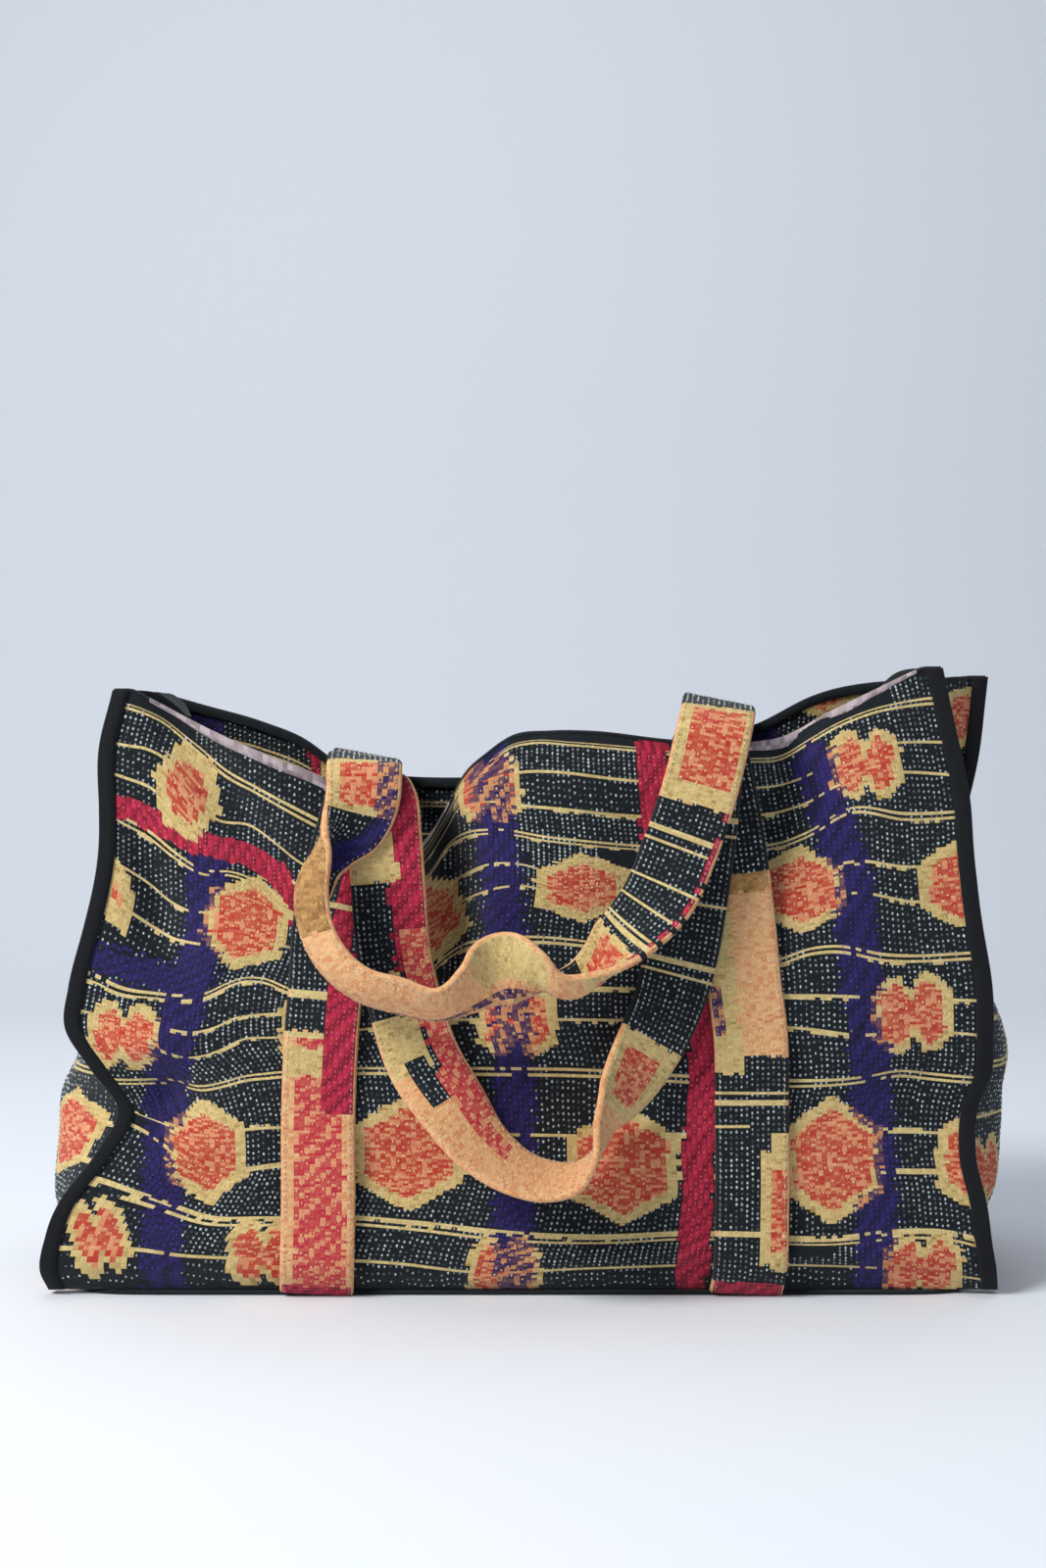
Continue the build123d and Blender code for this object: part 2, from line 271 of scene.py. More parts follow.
# Where those lines run on the slumped front: the height of each in the flat cloth, and its places (x, z)
FRONT_TRACKS = (
    (11, ((-252, 27), (-215, 27), (-204, 26), (-191, 24), (-156, 22), (-71, 19), (-28, 14), (35, 16),
          (121, 18), (211, 14), (248, 9))),
    (34.3, ((-252, 64), (-233, 59), (-215, 53), (-201, 48), (-185, 43), (-156, 42), (-108, 43), (-71, 40),
            (-28, 35), (35, 32), (78, 34), (163, 31), (211, 35), (227, 34), (248, 29))),
    (69, ((-252, 102), (-220, 88), (-204, 78), (-193, 72), (-138, 72), (-28, 68), (89, 66), (200, 69),
          (254, 67))),
    (89.5, ((-252, 115), (-217, 100), (-204, 95), (-191, 91), (-138, 93), (9, 89), (86, 88), (200, 90),
            (254, 87))),
    (119.1, ((-252, 126), (-228, 117), (-204, 116), (-191, 116), (-175, 113), (-161, 116), (-151, 119),
             (-135, 121), (-28, 123), (41, 122), (83, 119), (184, 118), (206, 121), (222, 119), (248, 117))),
    (145.6, ((-252, 145), (-233, 140), (-199, 136), (-180, 130), (-172, 131), (-161, 135), (-151, 140),
             (-135, 141), (-28, 150), (57, 150), (158, 145), (179, 142), (211, 144), (254, 141))),
    (163.6, ((-252, 158), (-233, 154), (-196, 147), (-175, 144), (-164, 147), (-156, 151), (-146, 153),
             (-135, 154), (-28, 169), (35, 168), (105, 165), (179, 163), (254, 160))),
    (186.1, ((-252, 177), (-228, 171), (-220, 167), (-196, 163), (-183, 162), (-169, 164), (-161, 168),
             (-151, 172), (-140, 172), (-124, 166), (-103, 163), (-71, 169), (-50, 175), (-42, 182),
             (-31, 189), (-18, 192), (3, 194), (57, 189), (142, 183), (152, 187), (166, 189), (195, 184),
             (248, 185))),
    (216, ((-236, 223), (-215, 208), (-204, 200), (-193, 194), (-183, 192), (-130, 190), (-103, 186),
           (-71, 192), (-50, 201), (-34, 214), (-26, 218), (-2, 223), (19, 218), (57, 211), (105, 209),
           (142, 211), (179, 219), (211, 214), (248, 216))),
    (234, ((-236, 243), (-212, 229), (-204, 223), (-196, 216), (-185, 210), (-156, 209), (-130, 202),
           (-103, 198), (-71, 206), (-50, 217), (-36, 226), (-26, 232), (1, 234), (11, 231), (57, 229),
           (105, 225), (142, 227), (182, 236), (206, 233), (248, 236))),
    (261.1, ((-236, 270), (-217, 258), (-204, 251), (-188, 239), (-175, 231), (-156, 229), (-140, 222),
             (-124, 211), (-103, 207), (-71, 217), (-50, 230), (-42, 243), (-31, 250), (-18, 252), (14, 248),
             (65, 243), (123, 242), (142, 245), (155, 251), (174, 263), (206, 260), (248, 262))),
    (282, ((-231, 286), (-215, 281), (-199, 274), (-185, 259), (-169, 245), (-151, 242), (-135, 234),
           (-124, 225), (-103, 218), (-71, 225), (-55, 235), (-50, 250), (-39, 263), (-28, 267), (9, 265),
           (62, 260), (123, 260), (142, 263), (155, 268), (168, 276), (182, 281), (248, 282))),
    (299, ((-231, 302), (-215, 299), (-204, 297), (-194, 291), (-183, 275), (-169, 260), (-148, 255),
           (-135, 246), (-122, 236), (-103, 229), (-71, 231), (-55, 239), (-49, 254), (-39, 268), (-28, 277),
           (-18, 281), (62, 280), (123, 276), (142, 278), (155, 283), (168, 291), (184, 297), (248, 301))),
    (321.3, ((-231, 323), (-215, 320), (-199, 313), (-188, 304), (-177, 295), (-167, 286), (-146, 274),
             (-116, 258), (-92, 246), (-71, 241), (-55, 243), (-49, 258), (-39, 272), (-28, 282), (-18, 291),
             (-9, 298), (3, 301), (25, 300), (62, 297), (123, 291), (142, 293), (155, 301), (168, 309),
             (184, 316), (211, 322), (248, 324))),
)

# How far the turned hem of each panel reaches down from its rim: (x, depth)
FRONT_HEM = ((-212, 1.2), (-190, 2.0), (-160, 4.6), (-100, 5.5), (-64, 4.0), (-40, 1.2), (90, 1.2),
             (125, 4.0), (150, 6.0), (180, 5.0), (200, 2.2), (217, 1.2))
BACK_HEM = ((-221, 1.4), (271, 1.4))

# The hem's section, from its foot outside over the rim to its foot inside. For each point: its share of
# the cloth's thickness, how far it stands out beyond that, its share of the hem's depth below the rim,
# and how far it is raised from there
HEM_SECTION = (
    (1.0, -0.3, 1.0, 0.0), (1.0, 0.55, 1.0, 0.3), (1.0, 0.6, 0.5, 0.0), (0.8, 0.4, 0.0, 0.75),
    (0.45, 0.0, 0.0, 1.0), (0.0, -0.45, 0.0, 0.4), (0.0, -0.6, 0.0, -2.5), (0.0, -0.55, 0.0, -5.0),
    (0.0, 0.3, 0.0, -5.3),
)

# The forms of the motifs, how wide the yellow border of each is, and how much of a border a navy band
# dyes. Then the motifs on the front: x, z, width, height, lean in degrees, and form
HEXAGON, BUTTERFLY, CROSSED = 0, 1, 2
BORDERS = (5.8, 4.4, 4.4)
MIXED_REACH = 4.0
FRONT_MOTIFS = (
    (-182, 274, 32, 56, 10, HEXAGON), (-18.5, 276, 36, 38, 0, CROSSED), (185, 288.6, 39, 38, 4, BUTTERFLY),
    (-220, 219, 17, 46, 12, HEXAGON), (-149.6, 203, 46, 53, -16, HEXAGON), (-54, 205, 46, 50, 20, HEXAGON),
    (32, 222, 52, 38, 0, HEXAGON), (150, 221, 46, 48, 0, HEXAGON), (236, 224, 44, 50, 0, HEXAGON),
    (-216, 142, 40, 37, -6, BUTTERFLY), (-110, 146, 42, 40, 0, BUTTERFLY), (-3.5, 151, 44, 40, 0, CROSSED),
    (210, 154, 44, 43, 6, BUTTERFLY),
    (-171.5, 79, 44, 58, 4, HEXAGON), (-62, 79, 58, 64, 0, HEXAGON), (54, 72, 60, 65, 0, HEXAGON),
    (167, 75, 54, 70, 0, HEXAGON), (248, 74, 48, 60, 0, HEXAGON),
    (-229, 33, 32, 43, 14, BUTTERFLY), (-139.5, 24, 40, 38, 0, BUTTERFLY), (-10, 14, 40, 40, 0, CROSSED),
    (216, 15, 44, 40, 0, BUTTERFLY),
)

# The upright bands on the front: the places (x, z) of the middle of each, and half its width
FRONT_NAVY = (
    (((158, 290), (168, 254), (178, 221), (180, 186), (187, 151), (190, 77), (191, 0)), 10),
    (((-20, 310), (-18, 278), (-15, 257), (-12, 225), (-5, 151), (-5, 0)), 10),
    (((-170, 236), (-173, 190), (-184, 155), (-190, 130), (-194, 110), (-195, 0)), 10),
    (((-250, 188), (-225, 182), (-188, 171)), 6.5),
)
FRONT_RED = (
    (((68, 320), (70, 302), (72, 251), (100, 151), (94, 71), (91, 0)), 8.5),
    (((-225, 266), (-211, 264), (-178, 247), (-150, 240), (-133, 230), (-122, 205)), 6),
)

# The motifs on the gussets: y, z, width, height, lean and form
LEFT_MOTIFS = (
    (-34, 80, 56, 50, 0, HEXAGON), (40, 150, 44, 42, 0, BUTTERFLY), (44, 24, 44, 40, 0, BUTTERFLY),
    (-30, 214, 50, 54, 0, HEXAGON), (40, 282, 42, 40, 0, BUTTERFLY), (-60, 10, 40, 34, 0, BUTTERFLY),
)
RIGHT_MOTIFS = (
    (6, 120, 62, 64, 0, HEXAGON), (-50, 60, 44, 40, 0, BUTTERFLY), (24, 34, 56, 44, 0, HEXAGON),
    (-36, 210, 50, 54, 0, HEXAGON), (40, 318, 48, 40, 0, HEXAGON), (30, 274, 44, 44, 0, HEXAGON),
)

# The lattice that the same motifs and bands follow where the photo doesn't show them
MOTIF_PITCH = 113.0
HEXAGON_ROWS = (78, 210, 345)
HEXAGON_SIZE = (52, 58)
BUTTERFLY_ROWS = (16, 146, 280)
BUTTERFLY_SIZE = (42, 40)

# The prints of the handles. Each field runs along the strap between two places of its route, right
# across it or between two distances from its middle, and has one kind of cloth
FRONT_HANDLE_PRINT = (
    (0.3, 4.0, PEACH), (0.3, 3.9, -12, 14, ROSE), (0.0, 0.5, RED), (3.0, 5.2, 1, 20, RED),
    (3.45, 3.8, -20, 1, YELLOW), (3.9, 4.0, -20, 1, LINE), (4.76, 4.8, -20, 1, LINE),
    (4.88, 4.92, -20, 1, LINE), (5.4, 8.8, 2, 14, RED), (6.2, 6.3, LINE), (8.8, 9.4, RED),
    (9.4, 12.0, 2, 20, RED), (11.0, 12.0, -20, 4, YELLOW), (11.6, 12.0, 4, 8, YELLOW),
    (12.0, 13.2, 0, 20, RED), (12.6, 14.4, 4, 20, ROSE), (13.2, 13.5, -20, 2, YELLOW),
    (13.5, 14.1, -18, -6, GROUND), (14.1, 15.2, -20, 4, YELLOW), (14.4, 16.6, 6, 20, ROSE),
    (15.0, 15.9, -10, 2, GROUND), (15.2, 22.4, -20, -10, PEACH), (15.9, 22.4, -20, 8, PEACH),
    (16.6, 22.4, PEACH), (15.4, 17.6, 2, 12, ROSE), (22.4, 24.4, YELLOW), (22.8, 24.1, -12, 10, CORE),
    (25.6, 25.7, LINE), (25.85, 25.95, LINE), (26.9, 27.05, LINE), (28.0, 28.1, LINE), (28.2, 28.3, LINE),
    # The brown field high on the sewn right leg is yellow and peach cloth with painted shade
    (32.55, 32.8, SHADED_PEACH), (32.7, 35.3, PEACH), (32.7, 35.5, -20, -5, YELLOW), (35.72, 35.78, LINE),
    (35.84, 35.9, LINE), (36.4, 37.8, 4, 20, YELLOW), (36.2, 37.9, 11, 20, YELLOW),
    (36.6, 37.6, 10, 20, CORE), (36.1, 36.16, -20, 0, LINE), (33.9, 35.0, -20, -13, MIXED),
    (37.3, 37.4, -20, 4, LINE), (38.3, 40.0, RED),
)
BACK_HANDLE_PRINT = (
    (0.2, 2.2, YELLOW), (0.6, 1.9, -12, 12, CORE), (2.9, 3.0, LINE), (3.1, 3.2, LINE), (3.9, 4.1, LINE),
    (4.6, 5.6, PEACH), (4.8, 5.5, -10, 10, CORE), (5.9, 6.0, LINE), (10.6, 11.4, -20, -10, RED),
    (12.5, 14.6, YELLOW), (12.8, 14.4, -13, 11, CORE), (12.6, 14.6, 8, 20, MIXED),
    (14.6, 16.2, 8, 20, NAVY), (15.2, 17.0, 3, 16, NAVY), (16.2, 19.2, -2, 12, NAVY),
    (26.6, 29.2, YELLOW), (27.0, 28.9, -12, 13, CORE), (29.6, 29.7, LINE), (29.9, 30.0, LINE),
    (30.7, 30.85, LINE), (31.3, 31.4, LINE), (31.95, 32.0, LINE), (32.13, 32.18, LINE),
    (28.6, 33.8, -20, -17, RED), (32.6, 35.2, YELLOW), (32.9, 34.9, -15, 13, CORE), (38.9, 39.1, LINE),
    (39.9, 40.0, LINE), (40.1, 40.2, LINE), (40.6, 41.6, YELLOW), (40.8, 41.5, -12, 12, CORE),
    (42.2, 42.35, LINE), (43.0, 43.9, NAVY), (44.2, 44.3, LINE),
)

# The other face of the back handle shows in its loop, and has a print of its own there
BACK_HANDLE_UNDER = (
    # The brown field is peach cloth with painted shade, where the curl turns away from the light
    (13.8, 18.2, SHADED_PEACH), (13.8, 15.2, YELLOW), (18.2, 26.6, PEACH), (23.2, 25.4, -20, 4, YELLOW),
    (20.0, 26.0, 10, 15, MIXED),
)


def linear(colour):
    """Turn sRGB values of 0 to 255 into the linear values of 0 to 1 that materials use."""
    share = np.asarray(colour, dtype=float) / 255.0
    return np.where(share <= 0.04045, share / 12.92, ((share + 0.055) / 1.055) ** 2.4)


def eased(value):
    """0 below 0, 1 above 1, and a smooth rise between: 3 times the square less twice the cube."""
    value = np.clip(value, 0.0, 1.0)
    return value * value * (3.0 - 2.0 * value)


def unit(vectors):
    """Vectors of length 1 in the same directions."""
    return vectors / np.linalg.norm(vectors, axis=-1, keepdims=True)


def smooth_through(places, values, at):
    """A smooth curve through values at rising places: cubics whose slopes come from their neighbours."""
    places = np.asarray(places, dtype=float)
    values = np.asarray(values, dtype=float)
    flat = values.reshape(len(places), -1)
    slopes = np.gradient(flat, places, axis=0)
    at = np.clip(at, places[0], places[-1])
    left = np.clip(np.searchsorted(places, at, side="right") - 1, 0, len(places) - 2)
    step = places[left + 1] - places[left]
    share = ((at - places[left]) / step)[..., None]
    step = step[..., None]
    square = share * share
    cube = square * share
    result = (2 * cube - 3 * square + 1) * flat[left] + (cube - 2 * square + share) * step * slopes[left]
    result = result + (3 * square - 2 * cube) * flat[left + 1] + (cube - square) * step * slopes[left + 1]
    return result.reshape(np.shape(at) + values.shape[1:])


def straight_through(places, values, at):
    """Straight steps between rows of values at rising places."""
    places = np.asarray(places, dtype=float)
    left = np.clip(np.searchsorted(places, at, side="right") - 1, 0, len(places) - 2)
    share = ((at - places[left]) / (places[left + 1] - places[left]))[:, None]
    return values[left] * (1.0 - share) + values[left + 1] * share


def ripple(along, up, seed, longest):
    """An even, gentle waviness of about -1 to 1: a sum of eight sine waves in seeded directions."""
    rng = np.random.default_rng(seed)
    total = np.zeros(np.broadcast(along, up).shape)
    for _ in range(8):
        angle, phase = rng.uniform(0.0, 2.0 * np.pi, 2)
        length = longest * rng.uniform(0.4, 1.0)
        total += np.sin(2.0 * np.pi * (along * np.cos(angle) + up * np.sin(angle)) / length + phase)
    return total / 4.0


def creases_at(x, z, creases):
    """How far creases take the cloth in, by a bell across each one.

    A crease is deepest from its start on, soon fades before it, and fades over its further half.
    """
    depth = np.zeros(np.broadcast(x, z).shape)
    for start_x, start_z, end_x, end_z, deep, half_width in creases:
        run_x, run_z = end_x - start_x, end_z - start_z
        length = np.hypot(run_x, run_z)
        along = ((x - start_x) * run_x + (z - start_z) * run_z) / length
        across = ((x - start_x) * run_z - (z - start_z) * run_x) / length
        before = eased(along / length / 0.25 + 1.0) * eased(along / half_width / 2.5 + 1.0)
        after = eased((length - along) / length / 0.55)
        depth += deep * np.exp(-((across / half_width) ** 2)) * before * after
    return depth


def mesh_object(name, points, faces, colours):
    """A piece from its points in millimetres, arrays of faces of equal corners, and a colour per face."""
    mesh = bpy.data.meshes.new(name)
    mesh.vertices.add(len(points))
    mesh.vertices.foreach_set("co", (np.asarray(points) * MM).astype(np.float32).ravel())
    corners = np.concatenate([np.asarray(group).ravel() for group in faces])
    totals = np.concatenate([np.full(len(group), np.shape(group)[1]) for group in faces])
    starts = np.concatenate([[0], np.cumsum(totals)[:-1]])
    mesh.loops.add(len(corners))
    mesh.loops.foreach_set("vertex_index", corners.astype(np.int32))
    mesh.polygons.add(len(totals))
    mesh.polygons.foreach_set("loop_start", starts.astype(np.int32))
    mesh.polygons.foreach_set("use_smooth", np.ones(len(totals), dtype=bool))
    mesh.update(calc_edges=True)
    tint = mesh.color_attributes.new("cloth", "FLOAT_COLOR", "CORNER")
    shades = np.ones((len(totals), 4), dtype=np.float32)
    shades[:, :3] = colours
    tint.data.foreach_set("color", np.repeat(shades, totals, axis=0).ravel())
    mesh.validate()
    piece = bpy.data.objects.new(name, mesh)
    bpy.context.scene.collection.objects.link(piece)
    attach(piece, "root")
    return piece


def grid_faces(rows, columns, first, turned):
    """The four-cornered faces of a grid whose points are numbered row by row."""
    row, column = np.meshgrid(np.arange(rows - 1), np.arange(columns - 1), indexing="ij")
    corner = (row * columns + column).ravel() + first
    quads = np.stack([corner, corner + 1, corner + columns + 1, corner + columns], axis=1)
    return quads[:, ::-1] if turned else quads


def sheet_object(name, outer, inner, cells, turned):
    """A sheet of cloth with a face on either side, closed along its four edges.

    Outer and inner are grids of points, and cells the colours of the outer grid's faces. The inner
    face has the same colours, because the cloth is woven through. Turned says which way round
    the outer face's corners run.
    """
    rows, columns = outer.shape[:2]
    count = rows * columns
    numbers = np.arange(count).reshape(rows, columns)
    border = np.concatenate([numbers[0], numbers[1:, -1], numbers[-1, -2::-1], numbers[-2::-1, 0]])
    edges = np.stack([border[:-1], border[:-1] + count, border[1:] + count, border[1:]], axis=1)
    if turned:
        edges = edges[:, ::-1]
    faces = [grid_faces(rows, columns, 0, turned), grid_faces(rows, columns, count, not turned), edges]
    flat = cells.reshape(-1, 3)
    rim = np.concatenate([cells[0], cells[:, -1], cells[-1, ::-1], cells[::-1, 0]])
    points = np.concatenate([outer.reshape(-1, 3), inner.reshape(-1, 3)])
    return mesh_object(name, points, faces, np.concatenate([flat, flat, rim]))


def tube_object(name, rings, colours):
    """A closed tube through rings of points, with a colour per face of its skin and flat ends."""
    rows, columns = rings.shape[:2]
    numbers = np.arange(rows * columns).reshape(rows, columns)
    wrapped = np.concatenate([numbers, numbers[:, :1]], axis=1)
    quads = np.stack([wrapped[:-1, :-1], wrapped[:-1, 1:], wrapped[1:, 1:], wrapped[1:, :-1]], axis=-1)
    ends = np.stack([numbers[0, ::-1], numbers[-1]])
    shades = np.concatenate([colours.reshape(-1, 3), colours[0, :1], colours[-1, :1]])
    return mesh_object(name, rings.reshape(-1, 3), [quads.reshape(-1, 4), ends], shades)


def stitches_object(name, centres, outward, along, colours, length, width, height):
    """Raised stitches: each is a low spindle, a long diamond along the thread with one top point."""
    along = unit(along)
    half = along * (length / 2)[:, None]
    side = np.cross(outward, along) * (width / 2)[:, None]
    sunk = centres - outward * STITCH_SUNK
    top = centres + outward * height[:, None]
    points = np.stack([sunk - half, sunk - side, sunk + half, sunk + side, top], axis=1)
    first = (np.arange(len(centres)) * 5)[:, None]
    base = first + [0, 3, 2, 1]
    sides = np.concatenate([first + [0, 1, 4], first + [1, 2, 4], first + [2, 3, 4], first + [3, 0, 4]])
    return mesh_object(name, points.reshape(-1, 3), [base, sides], np.tile(colours, (5, 1)))


def normals_of(grid):
    """The unit normal at each point of a grid: the cross product of its two directions."""
    return unit(np.cross(np.gradient(grid, axis=1), np.gradient(grid, axis=0)))


def cell_middles(values):
    """The mean of the four corners of each cell of a grid."""
    return (values[:-1, :-1] + values[1:, :-1] + values[:-1, 1:] + values[1:, 1:]) / 4


def motif_reach(x, z, motif):
    """How far a place lies outside a motif, in millimetres: negative inside it.

    A hexagon has upright sides and a point above and below. A butterfly is a square with its corners
    cut off and a notch above and below.
    """
    place_x, place_z, width, height, lean, form = motif
    angle = np.radians(lean)
    off_x, off_z = x - place_x, z - place_z
    wide = np.abs(off_x * np.cos(angle) + off_z * np.sin(angle)) / (width / 2)
    tall = np.abs(off_z * np.cos(angle) - off_x * np.sin(angle)) / (height / 2)
    if form == HEXAGON:
        reach = np.maximum(wide, 0.5 * wide + tall) - 1.0
    else:
        notch = 0.7 * (tall - 0.56 - 1.9 * wide)
        reach = np.maximum(np.maximum(np.maximum(wide, tall), 0.64 * (wide + tall)) - 1.0, notch)
    return reach * min(width, height) / 2


def band_reach(x, z, places, half_width):
    """How far a place lies outside a band whose middle runs through the places, in millimetres."""
    nearest = np.full(np.broadcast(x, z).shape, np.inf)
    for (start_x, start_z), (end_x, end_z) in zip(places, places[1:]):
        run_x, run_z = end_x - start_x, end_z - start_z
        share = ((x - start_x) * run_x + (z - start_z) * run_z) / (run_x * run_x + run_z * run_z)
        share = np.clip(share, 0.0, 1.0)
        nearest = np.minimum(nearest, np.hypot(x - start_x - share * run_x, z - start_z - share * run_z))
    return nearest - half_width


def in_pairs(values):
    """Each random value twice over, one row above the other, so that it fills a woven cell."""
    return np.repeat(values[::2], 2, axis=0)[: len(values)]


def patchwork(x, z, flat, stretch, motifs, navy, red, rng):
    """The kind of cloth in each cell of a panel: motifs over bands over lines over the ground.

    Edges jump by whole cells, as woven ones do, because each cell has its own small random offset.
    Where a navy band meets a motif's edge, or a crossed motif, the cloth is a mixture of both. Stretch
    is how much taller than flat a row is, by which a woven line would grow.
    """
    jitter = in_pairs(rng.uniform(-0.6, 0.6, x.shape))
    kinds = np.full(x.shape, GROUND)
    wander = rng.uniform(-0.2, 0.2, x.shape)
    stretch = np.maximum(stretch, 1.0)
    for height in SINGLE_LINES:
        kinds[np.abs(flat - height) * stretch + wander < LINE_HALF] = LINE
    for height in DOUBLE_LINES:
        off = np.abs(flat - height) * stretch + wander
        kinds[(off > DOUBLE_FROM) & (off < DOUBLE_TO)] = LINE
    streak = np.sin((x * 0.9 + z) * 1.4) > 0.1
    for places, half_width in navy:
        reach = band_reach(x, z, places, half_width) + jitter
        kinds[(reach < 0) & ((kinds != LINE) | (in_pairs(rng.random(x.shape)) < LINES_DYED))] = NAVY
        kinds[(reach >= 0) & (reach < STREAK_REACH) & streak & (kinds == GROUND)] = NAVY
    for places, half_width in red:
        kinds[band_reach(x, z, places, half_width) + jitter < 0] = RED
    banded = kinds == NAVY
    for motif in motifs:
        reach = motif_reach(x, z, motif) + jitter
        form = motif[-1]
        kinds[reach < 0] = YELLOW
        kinds[reach < -BORDERS[form]] = CORE
        kinds[(reach < 0) & banded & ((reach > -MIXED_REACH) | (form == CROSSED))] = MIXED
    return kinds


def between_colours(table, kinds, share):
    """A linear colour for each kind: a share of the way from its darker to its lighter one in a table."""
    dark, light = (linear([table[kind][end] for kind in range(len(table))])[kinds] for end in (0, 1))
    return dark + (light - dark) * share[..., None]


def cell_colours(kinds, along, up, rng):
    """A linear colour for each cell: between the kind's darker and lighter colour, by chance and by kind.

    Bands have slanting streaks, the motifs' cores and the peach cloth are a mosaic of two colours, the
    ground is paler where the cloth is rubbed, and the brown kind is peach cloth darkened by painted shade.
    """
    chance = rng.random(kinds.shape)
    cell = rng.random(kinds.shape)
    slant = 0.5 + 0.5 * np.sin(along * 1.5 + up * 0.55 + 2.0 * ripple(along, up, 5, 60.0))
    worn = np.clip(0.35 + 0.4 * ripple(along, up, 3, 160.0), 0.0, 1.0)
    share = {
        GROUND: 0.6 * worn + 0.4 * chance,
        LINE: 0.3 + 0.7 * chance,
        NAVY: 0.75 * slant + 0.25 * chance,
        RED: 0.75 * slant + 0.25 * chance,
        YELLOW: np.where(cell < 0.1, 0.0, 0.5) + 0.5 * chance,
        CORE: np.where(cell < 0.38, 0.7, 0.0) + 0.3 * chance,
        PEACH: np.where(cell < 0.64, 0.5, 0.0) + 0.5 * chance,
        MAUVE: chance,
        SHADED_PEACH: 0.3 * slant + 0.7 * chance,
        MIXED: np.where(0.5 * cell + 0.8 * slant > 0.85, 0.75, 0.0) + 0.25 * chance,
        ROSE: np.where(0.6 * cell + 0.6 * slant > 0.78, 0.75, 0.0) + 0.25 * chance,
    }
    share = np.choose(kinds, [share[kind] for kind in range(len(KIND_COLOURS))])
    return between_colours(KIND_COLOURS, kinds, np.clip(share, 0.0, 1.0))


def node_material(name, roughness, sheen):
    """A new material's node tree with a cloth shader in it, and that shader."""
    material = bpy.data.materials.new(name)
    material.use_nodes = True
    tree = material.node_tree
    shader = tree.nodes["Principled BSDF"]
    shader.inputs["Roughness"].default_value = roughness
    shader.inputs["Sheen Weight"].default_value = sheen
    shader.inputs["Sheen Roughness"].default_value = 0.5
    shader.inputs["Specular IOR Level"].default_value = 0.25
    return tree, shader


def add_node(tree, kind, **settings):
    """Add a node and set its plain values and its inputs by name."""
    node = tree.nodes.new(kind)
    for key, value in settings.items():
        if hasattr(node, key):
            setattr(node, key, value)
        else:
            node.inputs[key.replace("_", " ").title()].default_value = value
    return node


def noise_node(tree, place, scale, detail):
    """A cloud pattern in space, in the piece's own coordinates."""
    noise = add_node(tree, "ShaderNodeTexNoise", scale=scale, detail=detail)
    tree.links.new(place.outputs["Object"], noise.inputs["Vector"])
    return noise


def add_bump(tree, shader, height, strength, distance):
    """Raise a shader's surface by a height."""
    bump = add_node(tree, "ShaderNodeBump", strength=strength, distance=distance)
    tree.links.new(height, bump.inputs["Height"])
    tree.links.new(bump.outputs["Normal"], shader.inputs["Normal"])


def quilted_material():
    """Quilted cotton: its woven colour, shaded by fine fibres, and a bump of fibres and puckers.

    The fibres and the puckers are cloud patterns in space, the puckers at the scale of the stitches.
    """
    tree, shader = node_material("quilted_cotton", 0.92, 0.12)
    link = tree.links.new
    tint = add_node(tree, "ShaderNodeAttribute", attribute_name="cloth")
    place = add_node(tree, "ShaderNodeTexCoord")
    fibre = noise_node(tree, place, 2200.0, 3.0)
    cloud = noise_node(tree, place, 240.0, 2.0)
    shade = add_node(tree, "ShaderNodeMapRange", from_min=0.3, from_max=0.7, to_min=0.72, to_max=1.18)
    link(fibre.outputs["Fac"], shade.inputs["Value"])
    mix = add_node(tree, "ShaderNodeMix", data_type="RGBA", blend_type="MULTIPLY", factor=1.0)
    link(tint.outputs["Color"], mix.inputs[6])
    link(shade.outputs["Result"], mix.inputs[7])
    link(mix.outputs[2], shader.inputs["Base Color"])
    height = add_node(tree, "ShaderNodeMath", operation="ADD")
    link(fibre.outputs["Fac"], height.inputs[0])
    link(cloud.outputs["Fac"], height.inputs[1])
    add_bump(tree, shader, height.outputs["Value"], 0.8, 0.0009)


def tape_material():
    """Black cotton tape: a fine twill of ribs, a little fibre noise and a soft sheen."""
    tree, shader = node_material("black_tape", 0.8, 0.04)
    place = add_node(tree, "ShaderNodeTexCoord")
    rib = add_node(tree, "ShaderNodeTexWave", scale=520.0, distortion=0.6)
    tree.links.new(place.outputs["Object"], rib.inputs["Vector"])
    fibre = noise_node(tree, place, 1500.0, 3.0)
    ramp = add_node(tree, "ShaderNodeValToRGB")
    for element, strength in zip(ramp.color_ramp.elements, (0.6, 1.6)):
        element.color = (*[part * strength for part in bpy.context.scene.market_bag.tape_colour], 1.0)
    tree.links.new(fibre.outputs["Fac"], ramp.inputs["Fac"])
    tree.links.new(ramp.outputs["Color"], shader.inputs["Base Color"])
    add_bump(tree, shader, rib.outputs["Fac"], 0.5, 0.0004)


MATERIAL_MAKERS = {"quilted_cotton": quilted_material, "black_tape": tape_material}


def finish(piece, material="quilted_cotton"):
    """Give a piece a slot with its material, which is made on its first use."""
    if material not in bpy.data.materials:
        MATERIAL_MAKERS[material]()
    piece.data.materials.append(bpy.data.materials[material])


